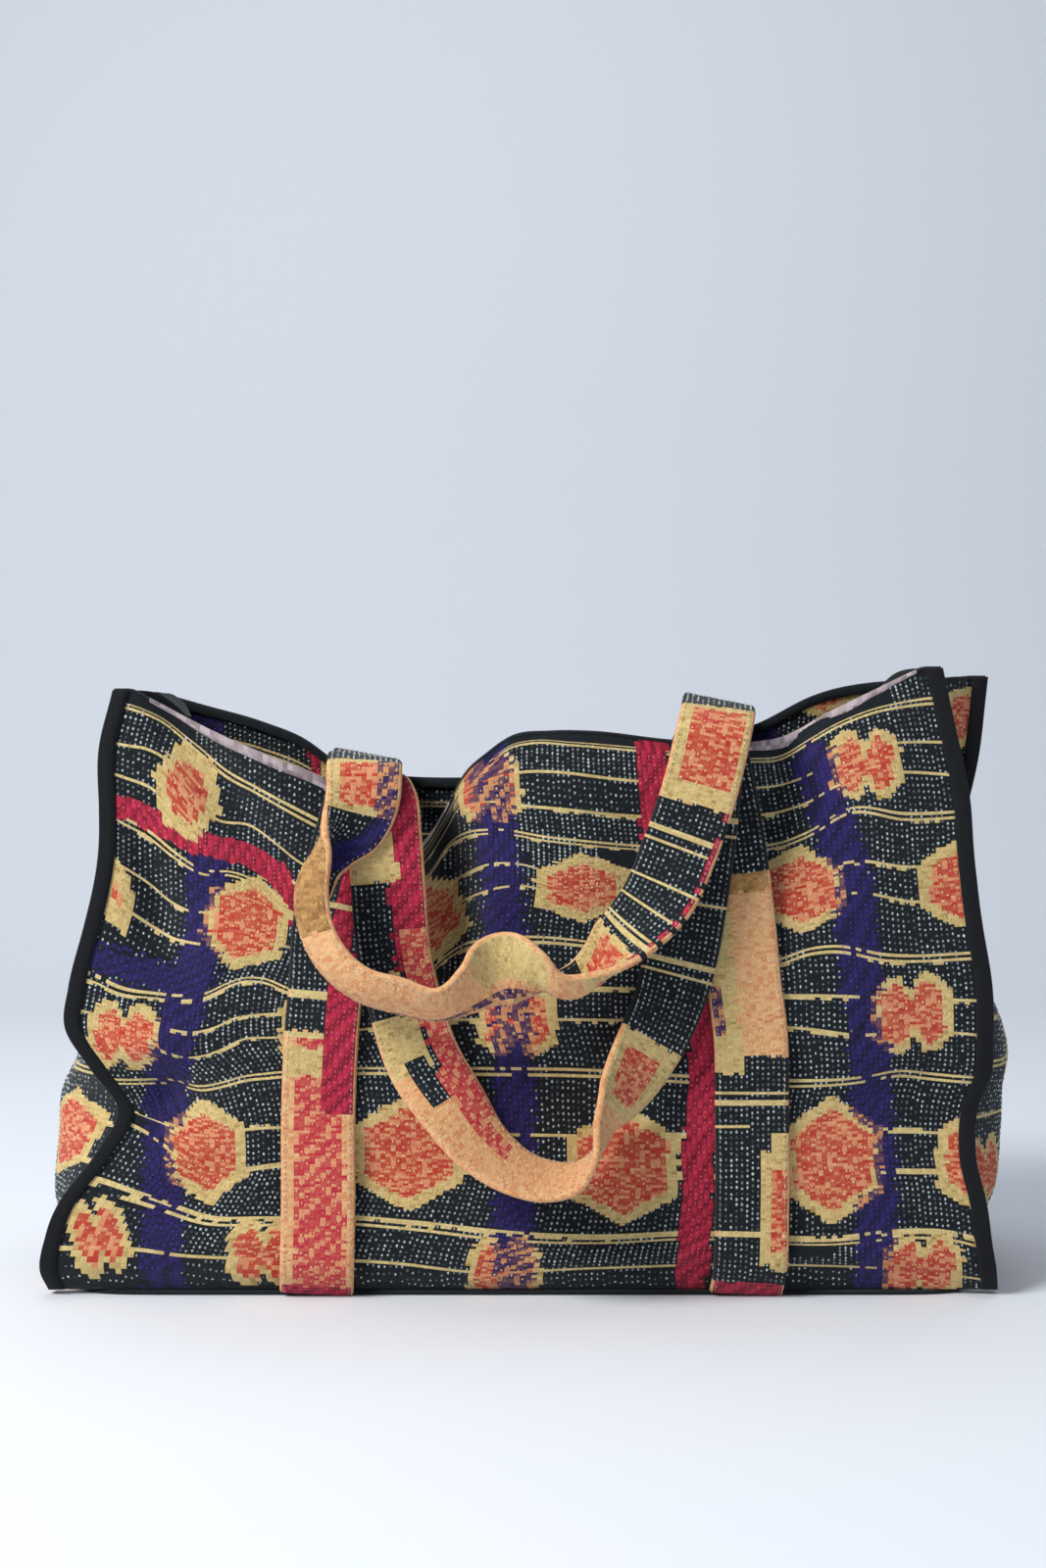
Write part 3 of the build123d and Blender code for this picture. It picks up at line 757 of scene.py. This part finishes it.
def sew_rows(name, outer, kinds, rng, turned):
    """Running stitches in upright rows on a sheet: every second cell is up, and every third on the motifs.

    The cells that are up move on by one every few rows. Turned is set where the sheet's grid runs the
    other way round, so that its normals would point inwards.
    """
    if turned:
        outer, kinds = outer[:, ::-1], kinds[:, ::-1]
    rows, columns = kinds.shape
    row, column = np.meshgrid(np.arange(1, rows - 2), np.arange(columns), indexing="ij")
    dense = np.isin(kinds[row, column], (CORE, YELLOW, PEACH, ROSE, MIXED))
    keep = np.where(dense, (row + column) % 3 == 0, (row + column // STITCH_SHIFT) % 2 == 0)
    keep &= rng.random(row.shape) > STITCHES_MISSING
    keep &= np.linalg.norm(outer[row + 1, column] - outer[row, column], axis=-1) > LOWEST_CELL
    row, column, dense = row[keep], column[keep], dense[keep]
    centres = cell_middles(outer)[row, column]
    up = outer[row + 1, column] - outer[row, column]
    outward = normals_of(outer)[row, column]
    count = len(row)
    kind = kinds[row, column]
    bright = rng.random(count) ** np.where(kind == GROUND, 1.2, 1.0)
    spec = bpy.context.scene.market_bag
    length = spec.stitch_length / MM * rng.uniform(0.8, 1.2, count)
    width = spec.stitch_width / MM * rng.uniform(0.8, 1.2, count) * np.where(dense, 1.1, 1.0)
    height = np.where(kind == GROUND, 0.55, 0.5) * rng.uniform(0.8, 1.2, count)
    centres = centres + up * rng.uniform(-0.3, 0.3, (count, 1))
    colours = between_colours(THREADS, kind, bright)
    finish(stitches_object(name, centres, outward, up, colours, length, width, height))


def seam_at(corner, z):
    """Where a corner seam is, as x and y, at a height: a smooth curve through its named places."""
    heights = HEIGHTS + (SEAM_TOPS[corner],)
    x = smooth_through(heights, SEAM_X[corner], z)
    y = smooth_through(heights, SEAM_Y[corner.split("_")[0]], z)
    return np.stack([x, y], axis=-1)


def seam_line(corner, rise):
    """The point of a corner seam at a share of its height."""
    z = FOOT + (SEAM_TOPS[corner] - FOOT) * rise
    return np.concatenate([seam_at(corner, z), z[..., None]], axis=-1)


def line_rows(side, rim, tracks, share):
    """The heights of a panel's rows: each row keeps its place between the woven lines above and below it.

    A line's height at a share of the width is read from its track, and a line without a track lies
    evenly between the foot and the rim. Lines stay at least a fifth of their flat distance apart.
    """
    rim_x, rim_z = np.array(rim, dtype=float).T
    levels = [0.0] + [height for height, _ in tracks] + [FLAT_HEIGHT]
    lines = []
    for height, places in ((0.0, ()),) + tracks + ((FLAT_HEIGHT, ()),):
        left = seam_line(f"{side}_left", np.array(height / FLAT_HEIGHT))[0]
        right = seam_line(f"{side}_right", np.array(height / FLAT_HEIGHT))[0]
        x = left + (right - left) * share
        if places:
            track_x, track_z = np.array(places, dtype=float).T
            lines.append(smooth_through(track_x, track_z, x))
        else:
            lines.append(FOOT + (smooth_through(rim_x, rim_z, x) - FOOT) * height / FLAT_HEIGHT)
    for number in range(len(lines) - 2, 0, -1):
        apart = 0.2 * (levels[number + 1] - levels[number])
        lines[number] = np.minimum(lines[number], lines[number + 1] - apart)
    rows = np.linspace(0.0, FLAT_HEIGHT, ROWS + 1)
    return rows, straight_through(levels, np.array(lines), rows)


def panel_grid(side, rim, tracks, creases, wide, seed):
    """The outer face of a panel, as points over its width and its height.

    Across, it runs from seam to seam, and its middle stands out by a flat arch less its creases.
    Upwards, its rows follow the woven lines. Returns the points and the flat height of each.
    """
    out = -1.0 if side == "front" else 1.0
    share = np.linspace(0.0, 1.0, int(round(wide / CELL_WIDE)) + 1)
    rows, z = line_rows(side, rim, tracks, share)
    left = seam_at(f"{side}_left", z[:, 0])
    right = seam_at(f"{side}_right", z[:, -1])
    x = left[:, :1] + (right[:, :1] - left[:, :1]) * share
    line_y = left[:, 1:] + (right[:, 1:] - left[:, 1:]) * share
    arch = eased(np.minimum(share, 1.0 - share) / BELLY_RISE)
    clear = eased((np.minimum(x - x[:, :1], x[:, -1:] - x) - FLANGE) / CREASE_RISE)
    belly = smooth_through(HEIGHTS + (FLAT_HEIGHT,), BELLY[side], rows)[:, None]
    loose = PANEL_SLACK * ripple(x, z, seed, 70.0) * eased(z / SLACK_RISE)
    y = line_y + out * (arch * belly - clear * (creases_at(x, z, creases) - loose))
    return np.stack([x, y, z], axis=-1), np.broadcast_to(rows[:, None], x.shape)


def lattice_motifs(low, high, offset):
    """Motifs in even rows, each row half a pitch along from the one below it, where none are measured."""
    motifs = []
    numbers = range(int(low // MOTIF_PITCH) - 1, int(high // MOTIF_PITCH) + 2)
    for rows, shift, size, form in (
        (HEXAGON_ROWS, 0.0, HEXAGON_SIZE, HEXAGON),
        (BUTTERFLY_ROWS, 0.5, BUTTERFLY_SIZE, BUTTERFLY),
    ):
        for height in rows:
            for number in numbers:
                motifs.append(((number + shift) * MOTIF_PITCH + offset, height, *size, 0, form))
    return motifs


def lattice_bands(low, high, offset):
    """Navy and red upright bands, a pitch and a half apart in turn."""
    navy = []
    red = []
    for number in range(int(low // MOTIF_PITCH) - 1, int(high // MOTIF_PITCH) + 2):
        middle = number * 1.5 * MOTIF_PITCH + offset
        navy.append((((middle, -20), (middle + 6, 380)), 10))
        red.append((((middle + 85, -20), (middle + 76, 380)), 8.5))
    return navy, red


def build_hem(side, outer, inner, depths):
    """A turned hem over the rim of a panel: a flattened roll that reaches down both faces."""
    places, reach = np.array(depths, dtype=float).T
    deep = np.interp(outer[:, 0], places, reach)
    thick = np.linalg.norm(outer - inner, axis=1)
    share, beyond, down, lift = np.array(HEM_SECTION).T
    stand = share * thick[:, None] + beyond
    rings = inner[:, None] + unit(outer - inner)[:, None] * stand[..., None]
    rings[..., 2] += lift - down * deep[:, None]
    if side == "back":
        rings = rings[::-1]
    kinds = np.repeat(np.where(deep[:-1] > 1.5, MAUVE, GROUND)[:, None], len(HEM_SECTION), axis=1)
    around = np.arange(len(HEM_SECTION)) * 2.0
    shades = cell_colours(kinds, outer[:-1, :1], around, np.random.default_rng(3))
    finish(tube_object(f"{side}_hem", rings, shades))


def build_panel(side, rim, hem, tracks, creases, seed, motifs, navy, red, wide):
    """One panel with its stitches and its hem, on the place of its frame solid."""
    spec = bpy.context.scene.market_bag
    rng = np.random.default_rng(seed)
    turned = side == "back"
    grid, flat = panel_grid(side, rim, tracks, creases, wide, seed)
    x, z = cell_middles(grid[..., 0]), cell_middles(grid[..., 2])
    stretch = np.diff(grid[..., 2], axis=0)[:, 1:] / CELL_TALL
    kinds = patchwork(x, z, cell_middles(flat), stretch, motifs, navy, red, rng)
    cells = cell_colours(kinds, x, z, rng)
    back_face = grid + [0.0, spec.cloth_thickness / MM * (-1.0 if turned else 1.0), 0.0]
    piece = sheet_object(f"{side}_panel_cloth", grid, back_face, cells, turned)
    finish(piece)
    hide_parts(f"{side}_panel")
    sew_rows(f"{side}_panel_stitches", grid, kinds, rng, turned)
    sew_rows(f"{side}_inner_stitches", back_face[-INNER_ROWS:], kinds[1 - INNER_ROWS:], rng, not turned)
    build_hem(side, grid[-1], back_face[-1], hem)


class MARKETBAG_OT_front_panel(bpy.types.Operator):
    """Build the front panel, folded in at the notch of its rim"""

    bl_idname = "market_bag.front_panel"
    bl_label = "Front Panel"

    def execute(self, context):
        build_panel(
            "front", FRONT_RIM, FRONT_HEM, FRONT_TRACKS, FRONT_CREASES, 11,
            FRONT_MOTIFS, FRONT_NAVY, FRONT_RED, FRONT_WIDE,
        )
        return {"FINISHED"}


class MARKETBAG_OT_back_panel(bpy.types.Operator):
    """Build the back panel, which leans forward towards its top"""

    bl_idname = "market_bag.back_panel"
    bl_label = "Back Panel"

    def execute(self, context):
        motifs = lattice_motifs(-260, 280, 68.5)
        navy, red = lattice_bands(-260, 280, -30.0)
        build_panel("back", BACK_RIM, BACK_HEM, (), BACK_CREASES, 23, motifs, navy, red, BACK_WIDE)
        return {"FINISHED"}


def gusset_grid(side, layer):
    """One face of a gusset, as points from the front seam to the back one and from foot to rim.

    Each row is a straight flange, a quarter circle, a wall that stands out by a sine arch, a quarter
    circle and a flange. Layer is how far the face lies outside the innermost one. Returns the points
    and the flat height of each.
    """
    out = -1.0 if side == "left" else 1.0
    rise = np.linspace(0.0, 1.0, ROWS + 1)[:, None]
    front_x, front_y, front_z = np.moveaxis(seam_line(f"front_{side}", rise), -1, 0)
    back_x, back_y, back_z = np.moveaxis(seam_line(f"back_{side}", rise), -1, 0)
    near_y = front_y + CLOTH + GAP
    far_y = back_y - CLOTH - GAP
    flange = np.linspace(0.0, 1.0, 4)[None, :]
    quarter = np.linspace(0.0, np.pi / 2, 5)[None, 1:]
    wall = np.linspace(0.0, 1.0, 52)[None, 1:-1]
    radius = TURN - layer
    inward = np.concatenate([FLANGE * flange, FLANGE + radius * np.sin(quarter)], axis=1)
    away = np.concatenate([np.full(flange.shape, layer), TURN - radius * np.cos(quarter)], axis=1)
    arch = np.sin(np.pi * wall)
    flat = rise * FLAT_HEIGHT
    belly = smooth_through(HEIGHTS + (FLAT_HEIGHT,), BELLY[side], flat)
    wall_y = near_y + TURN + (far_y - near_y - 2 * TURN) * wall
    bulge = arch * (belly + GUSSET_SLACK * ripple(wall_y, flat, 31, 60.0)) - (FLANGE + radius)
    wall_x = front_x + (back_x - front_x) * wall + out * bulge
    x = np.concatenate([front_x - out * inward, wall_x, back_x - out * inward[:, ::-1]], axis=1)
    y = np.concatenate([near_y + away, wall_y, far_y - away[:, ::-1]], axis=1)
    share = np.concatenate([np.zeros(inward.shape), wall, np.ones(inward.shape)], axis=1)
    z = front_z + (back_z - front_z) * share - GUSSET_SAG * np.sin(np.pi * share) ** 2 * rise**2
    return np.stack([x, y, z], axis=-1), np.broadcast_to(flat, x.shape)


class MARKETBAG_OT_gussets(bpy.types.Operator):
    """Build both gussets, which bulge low down and fold in at the rim"""

    bl_idname = "market_bag.gussets"
    bl_label = "Gussets"

    def execute(self, context):
        thick = context.scene.market_bag.cloth_thickness / MM
        sides = (("left", 41, 50.0, LEFT_MOTIFS), ("right", 43, -4.0, RIGHT_MOTIFS))
        for side, seed, offset, motifs in sides:
            rng = np.random.default_rng(seed)
            turned = side == "left"
            outer, flat = gusset_grid(side, thick)
            inner, _ = gusset_grid(side, 0.0)
            y, z = cell_middles(outer[..., 1]), cell_middles(outer[..., 2])
            navy, red = lattice_bands(-100, 100, offset)
            kinds = patchwork(y, z, cell_middles(flat), 1.0, motifs, navy, [] if turned else red, rng)
            cells = cell_colours(kinds, y, z, rng)
            piece = sheet_object(f"{side}_gusset_cloth", outer, inner, cells, turned)
            finish(piece)
            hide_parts(f"{side}_gusset")
            sew_rows(f"{side}_gusset_stitches", outer, kinds, rng, turned)
        return {"FINISHED"}


class MARKETBAG_OT_base(bpy.types.Operator):
    """Build the base: a flat rounded oblong with soft edges"""

    bl_idname = "market_bag.base"
    bl_label = "Base"

    def execute(self, context):
        turns = 96
        angle = np.linspace(0.0, 2.0 * np.pi, turns, endpoint=False)
        half = (BASE_HIGH - BASE_LOW) / 2
        circle = np.stack([np.cos(angle), np.sin(angle)], axis=1)
        outline = np.sign(circle) * np.abs(circle) ** BASE_ROUNDNESS * half[:2]
        profile = np.array(BASE_SECTION)
        rings = np.zeros((len(profile), turns, 3))
        rings[..., :2] = profile[:, :1, None] * outline[None]
        rings[..., 2] = BASE_LOW[2] + profile[:, 1:] * (BASE_HIGH[2] - BASE_LOW[2])
        kinds = np.full((len(profile) - 1, turns), GROUND)
        shades = cell_colours(kinds, angle * 90, profile[:-1, :1] * 200, np.random.default_rng(7))
        piece = tube_object("base_cloth", rings, shades)
        finish(piece)
        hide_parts("base_panel")
        return {"FINISHED"}


class MARKETBAG_OT_bindings(bpy.types.Operator):
    """Build the four black tapes that are folded over the corner seams"""

    bl_idname = "market_bag.bindings"
    bl_label = "Corner Bindings"

    def execute(self, context):
        spec = context.scene.market_bag
        tape = spec.tape_thickness / MM
        wide = spec.tape_width / MM
        half = CLOTH + GAP / 2 + TAPE_CLEAR
        bend = np.linspace(-np.pi / 2, np.pi / 2, 13)
        rise = np.linspace(0.0, 1.0, 150)
        skin = half + tape
        foot = half + 0.5 * tape
        over_x = [-wide, -wide * 0.6, *(1.3 * np.cos(bend) - 0.5), -wide * 0.6, -wide]
        over_y = [-foot, -skin, *(skin * np.sin(bend)), skin, foot]
        profile_x = np.array([*over_x, -wide, -1.2, -0.7, -1.2, -wide])
        profile_y = np.array([*over_y, half, half, 0.0, -half, -half])
        for corner in SEAM_TOPS:
            out_x = -1.0 if corner.endswith("left") else 1.0
            out_y = -1.0 if corner.startswith("front") else 1.0
            seam = seam_line(corner, rise)
            middle = seam[:, 1] - out_y * (CLOTH + GAP / 2)
            waver = 0.35 * ripple(seam[:, 2], 0.0, 51, 70.0)
            rings = np.zeros((len(rise), len(profile_x), 3))
            rings[..., 0] = (seam[:, 0] + out_x * (GAP + waver))[:, None] + out_x * profile_x
            rings[..., 1] = middle[:, None] - out_y * profile_y
            rings[..., 2] = seam[:, 2:3]
            if out_x * out_y > 0:
                rings = rings[:, ::-1]
            shades = np.ones((len(rise) - 1, len(profile_x), 3)) * np.array(spec.tape_colour)
            piece = tube_object(f"{corner}_tape", rings, shades)
            finish(piece, "black_tape")
            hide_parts(f"{corner}_binding")
        return {"FINISHED"}


def strap_frames(route):
    """Frames along a strap, a cell apart: a smooth curve through its places, and its width at each.

    Returns the middles, the width's directions, the directions along, the place number of each, and
    how far along the strap each is.
    """
    x, y, z, turn, roll = np.array(route, dtype=float).T
    turn, roll = np.radians(turn), np.radians(roll)
    width = np.stack([np.cos(roll) * np.cos(turn), np.sin(roll), np.cos(roll) * np.sin(turn)], axis=1)
    middle = np.stack([x, y, z], axis=1)
    chord = np.concatenate([[0.0], np.cumsum(np.linalg.norm(np.diff(middle, axis=0), axis=1))])
    fine = np.linspace(0.0, chord[-1], 4000)
    path = smooth_through(chord, middle, fine)
    length = np.concatenate([[0.0], np.cumsum(np.linalg.norm(np.diff(path, axis=0), axis=1))])
    even = np.linspace(0.0, length[-1], int(round(length[-1] / CELL_TALL)) + 1)
    at = np.interp(even, length, fine)
    path = smooth_through(chord, middle, at)
    across = smooth_through(chord, width, at)
    along = unit(np.gradient(path, axis=0))
    across = unit(across - along * np.sum(across * along, axis=1, keepdims=True))
    return path, across, along, np.interp(at, chord, np.arange(len(route))), even


def strap_kinds(kinds, places, wide, fields):
    """Lay a print's fields over the kinds of cloth in the cells of a strap, one after another."""
    rate = np.gradient(places)[:, None] / CELL_TALL
    places = places[:, None]
    kinds = kinds.copy()
    for start, stop, *reach, kind in fields:
        low, high = reach or (-EDGE, EDGE)
        if kind == LINE:
            inside = np.abs(places - (start + stop) / 2) < rate * 1.2
        else:
            ragged = places + (wide - wide.mean(axis=0)) * rate
            inside = (ragged >= start) & (ragged < stop)
        kinds[inside & ((wide >= low) | (low <= -EDGE)) & ((wide < high) | (high >= EDGE))] = kind
    return kinds


def strap_middle(path, across, facing, places, curls, flat, half):
    """The middle face of a strap as a grid: straight across, or a parabola where a curl is given.

    A curl takes the middle out by its height and draws the edges together, so that the width of the
    cloth stays about the same: the line between the edges shrinks as the base of a triangle does.
    """
    path, across, facing = path[:, None], across[:, None], facing[:, None]
    if not curls:
        return path + across * flat[:, None]
    at, height, top = np.array(curls, dtype=float).T
    height = smooth_through(at, height, places)[:, None]
    top = smooth_through(at, top, places)[:, None]
    drawn = np.sqrt(1.0 - (height / half) ** 2)
    bell = height * (1.0 - ((flat - top) / (half + np.abs(top))) ** 2)
    return path + across * (flat * drawn)[..., None] + facing * bell[..., None]


def sew_edges(name, middle, normals, along, thick, rng):
    """A line of stitches near each edge of a strap, on both of its faces."""
    picked = np.arange(1, len(middle) - 1, 2)
    lines = []
    for near, next_in in ((0, 1), (-1, -2)):
        for face in (-1.0, 1.0):
            spot = middle[picked, near] * 0.6 + middle[picked, next_in] * 0.4
            outward = normals[picked, near] * face
            lines.append((spot + outward * thick, outward, along[picked]))
    spots, outward, run = (np.concatenate(part) for part in zip(*lines))
    dark, light = linear(EDGE_THREAD)
    pale = dark + (light - dark) * rng.random((len(spots), 1))
    length, width, height = np.array([2.2, 1.0, 0.5])[:, None] * np.ones(len(spots))
    finish(stitches_object(name, spots, outward, run, pale, length, width, height))


def build_handle(name, route, fields, seed, curls=(), under=()):
    """One handle: a strap with rounded edges, raised stitches on its faces and a line near each edge.

    Fields is its print, under what covers that print on the facing side, and curls where it curls.
    """
    spec = bpy.context.scene.market_bag
    rng = np.random.default_rng(seed)
    path, across, along, places, even = strap_frames(route)
    half = spec.strap_width / MM / 2
    thick = spec.strap_thickness / MM / 2
    flat = np.linspace(EDGE_ROUND - half, half - EDGE_ROUND, STRAP_COLUMNS + 1)
    middle = strap_middle(path, across, np.cross(across, along), places, curls, flat, half)
    normals = normals_of(middle)
    crown = normals * (thick * (1.0 - 0.12 * (flat / half) ** 4))[:, None]
    edge_out = np.array([EDGE_ROUND - 0.5, EDGE_ROUND, EDGE_ROUND - 0.5])[:, None]
    edge_up = np.array([0.62, 0.0, -0.62])[:, None] * thick
    right = unit(middle[:, -1] - middle[:, -2])[:, None]
    left = unit(middle[:, 0] - middle[:, 1])[:, None]
    right_edge = middle[:, -1:] + right * edge_out + normals[:, -1:] * edge_up
    left_edge = middle[:, :1] + left * edge_out - normals[:, :1] * edge_up
    rings = np.concatenate([middle + crown, right_edge, (middle - crown)[:, ::-1], left_edge], axis=1)
    between = (places[:-1] + places[1:]) / 2
    run = (even[:-1] + even[1:]) / 2
    wide = (flat[:-1] + flat[1:]) / 2 + in_pairs(rng.uniform(-0.8, 0.8, (len(between), STRAP_COLUMNS)))
    kinds = strap_kinds(np.full(wide.shape, GROUND), between, wide, fields)
    over = strap_kinds(kinds, between, wide, under)
    rim = np.where(np.isin(over[:, [0, -1]], (GROUND, NAVY)), over[:, [0, -1]], PEACH)
    left_rim, right_rim = np.repeat(rim[:, :1], 4, axis=1), np.repeat(rim[:, 1:], 4, axis=1)
    skin = np.concatenate([over, right_rim, kinds[:, ::-1], left_rim], axis=1)
    around = np.arange(skin.shape[1]) * 2.0 * half / STRAP_COLUMNS
    piece = tube_object(f"{name}_strap", rings, cell_colours(skin, around, run[:, None], rng))
    finish(piece)
    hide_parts(name)
    sew_rows(f"{name}_face_stitches", middle + crown, over, rng, False)
    sew_rows(f"{name}_under_stitches", middle - crown, kinds, rng, True)
    sew_edges(f"{name}_seam_thread", middle, normals, along, thick, rng)


class MARKETBAG_OT_front_handle(bpy.types.Operator):
    """Build the front handle, which has flopped down over the front panel"""

    bl_idname = "market_bag.front_handle"
    bl_label = "Front Handle"

    def execute(self, context):
        build_handle("front_handle", FRONT_HANDLE_ROUTE, FRONT_HANDLE_PRINT, 61)
        return {"FINISHED"}


class MARKETBAG_OT_back_handle(bpy.types.Operator):
    """Build the back handle, which has flopped over the mouth to the front"""

    bl_idname = "market_bag.back_handle"
    bl_label = "Back Handle"

    def execute(self, context):
        build_handle(
            "back_handle", BACK_HANDLE_ROUTE, BACK_HANDLE_PRINT, 67,
            curls=BACK_HANDLE_CURL, under=BACK_HANDLE_UNDER,
        )
        return {"FINISHED"}


def build_floor():
    """A pale floor that turns up into a backdrop behind the bag."""
    steps = np.linspace(0.0, np.pi / 2, 16)
    bend = [(BACKDROP_Y + SWEEP * np.sin(a), SWEEP - SWEEP * np.cos(a)) for a in steps]
    profile = [(-6.0, 0.0), *bend, (BACKDROP_Y + SWEEP, 5.0)]
    points = [(side, y, z) for y, z in profile for side in (-6.0, 6.0)]
    faces = [(2 * n, 2 * n + 1, 2 * n + 3, 2 * n + 2) for n in range(len(profile) - 1)]
    mesh = bpy.data.meshes.new("floor")
    mesh.from_pydata(points, [], faces)
    mesh.polygons.foreach_set("use_smooth", [True] * len(faces))
    floor = bpy.data.objects.new("floor", mesh)
    bpy.context.scene.collection.objects.link(floor)
    material = bpy.data.materials.new("floor_paint")
    material.use_nodes = True
    shader = material.node_tree.nodes["Principled BSDF"]
    shader.inputs["Base Color"].default_value = (*linear((226, 232, 240)), 1.0)
    shader.inputs["Roughness"].default_value = 0.9
    mesh.materials.append(material)


def area_light(name, place, target, size, power, colour=(1.0, 1.0, 1.0)):
    """A soft square lamp at a place, turned to a target."""
    data = bpy.data.lights.new(name, "AREA")
    data.size = size
    data.energy = power
    data.color = colour
    lamp = bpy.data.objects.new(name, data)
    bpy.context.scene.collection.objects.link(lamp)
    direction = np.array(target) - np.array(place)
    yaw = np.arctan2(direction[1], direction[0])
    flat = np.hypot(direction[0], direction[1])
    lamp.location = place
    lamp.rotation_euler = (np.pi / 2 + np.arctan2(direction[2], flat), 0.0, yaw - np.pi / 2)


def light_room():
    """A room's dim light from all sides, with a pale wall's colour where the camera sees past the floor."""
    world = bpy.data.worlds.new("room_light")
    world.use_nodes = True
    tree = world.node_tree
    light = tree.nodes["Background"]
    light.inputs["Color"].default_value = (0.82, 0.88, 1.0, 1.0)
    light.inputs["Strength"].default_value = 0.24
    seen = tree.nodes.new("ShaderNodeBackground")
    seen.inputs["Color"].default_value = (*linear((214, 221, 232)), 1.0)
    path = tree.nodes.new("ShaderNodeLightPath")
    mix = tree.nodes.new("ShaderNodeMixShader")
    tree.links.new(path.outputs["Is Camera Ray"], mix.inputs["Fac"])
    tree.links.new(light.outputs["Background"], mix.inputs[1])
    tree.links.new(seen.outputs["Background"], mix.inputs[2])
    tree.links.new(mix.outputs["Shader"], tree.nodes["World Output"].inputs["Surface"])
    bpy.context.scene.world = world


class MARKETBAG_OT_stage(bpy.types.Operator):
    """Build the floor with its curved backdrop, the lamps and the camera"""

    bl_idname = "market_bag.stage"
    bl_label = "Stage"

    def execute(self, context):
        build_floor()
        area_light("window", (-1.5, -1.35, 1.7), (0.0, 0.0, 0.15), 0.9, 66.0, (1.0, 0.98, 0.95))
        area_light("room", (2.4, -2.0, 1.0), (0.0, 0.0, 0.15), 2.4, 7.0, (0.9, 0.95, 1.0))
        area_light("ceiling", (0.0, 0.4, 2.6), (0.0, 0.0, 0.0), 2.4, 22.0)
        light_room()
        context.scene.view_settings.view_transform = "Standard"
        lens = bpy.data.cameras.new("camera")
        lens.sensor_fit = "VERTICAL"
        lens.sensor_height = 36.0
        lens.lens = 46.3
        camera = bpy.data.objects.new("camera", lens)
        camera.location = (0.0, -1.185, 0.278)
        camera.rotation_euler = (np.pi / 2, 0.0, 0.0)
        context.scene.collection.objects.link(camera)
        context.scene.camera = camera
        return {"FINISHED"}


def size_property(name, description, default):
    """A length of the bag, in metres, that a user would change."""
    return FloatProperty(name=name, description=description, default=default, unit="LENGTH")


class MarketBagSettings(bpy.types.PropertyGroup):
    """The sizes and colours of the bag that a user would change."""

    cloth_thickness: size_property("Cloth Thickness", "Thickness of the quilted cloth", CLOTH * MM)
    strap_width: size_property("Strap Width", "Width of both handles", 0.040)
    strap_thickness: size_property("Strap Thickness", "Thickness of both handles", 0.0044)
    stitch_length: size_property("Stitch Length", "Length of a raised running stitch", 0.0028)
    stitch_width: size_property("Stitch Width", "Width of a raised running stitch", 0.0021)
    tape_thickness: size_property("Tape Thickness", "Thickness of the corner tape", 0.0012)
    tape_width: size_property("Tape Width", "How far the corner tape reaches over the seam", 0.0088)
    tape_colour: FloatVectorProperty(
        name="Tape Colour", description="Colour of the corner tape",
        subtype="COLOR", default=tuple(linear((11, 14, 20))),
    )


class MARKETBAG_PT_sidebar(bpy.types.Panel):
    """The bag's sizes and the buttons that build its pieces."""

    bl_label = "Market Bag"
    bl_space_type = "VIEW_3D"
    bl_region_type = "UI"
    bl_category = "Market Bag"

    def draw(self, context):
        for name in MarketBagSettings.__annotations__:
            self.layout.prop(context.scene.market_bag, name)
        for operator in OPERATORS:
            self.layout.operator(operator.bl_idname)


OPERATORS = (
    MARKETBAG_OT_stage,
    MARKETBAG_OT_front_panel,
    MARKETBAG_OT_back_panel,
    MARKETBAG_OT_gussets,
    MARKETBAG_OT_base,
    MARKETBAG_OT_bindings,
    MARKETBAG_OT_front_handle,
    MARKETBAG_OT_back_handle,
)
CLASSES = (MarketBagSettings, *OPERATORS, MARKETBAG_PT_sidebar)


def register():
    """Register the classes and put the settings on the scene."""
    for cls in CLASSES:
        bpy.utils.register_class(cls)
    bpy.types.Scene.market_bag = PointerProperty(type=MarketBagSettings)


def unregister():
    """Undo register."""
    del bpy.types.Scene.market_bag
    for cls in reversed(CLASSES):
        bpy.utils.unregister_class(cls)


def main():
    """Register and build every piece in order."""
    register()
    for operator in OPERATORS:
        group, name = operator.bl_idname.split(".")
        getattr(getattr(bpy.ops, group), name)()


if __name__ == "__main__":
    main()
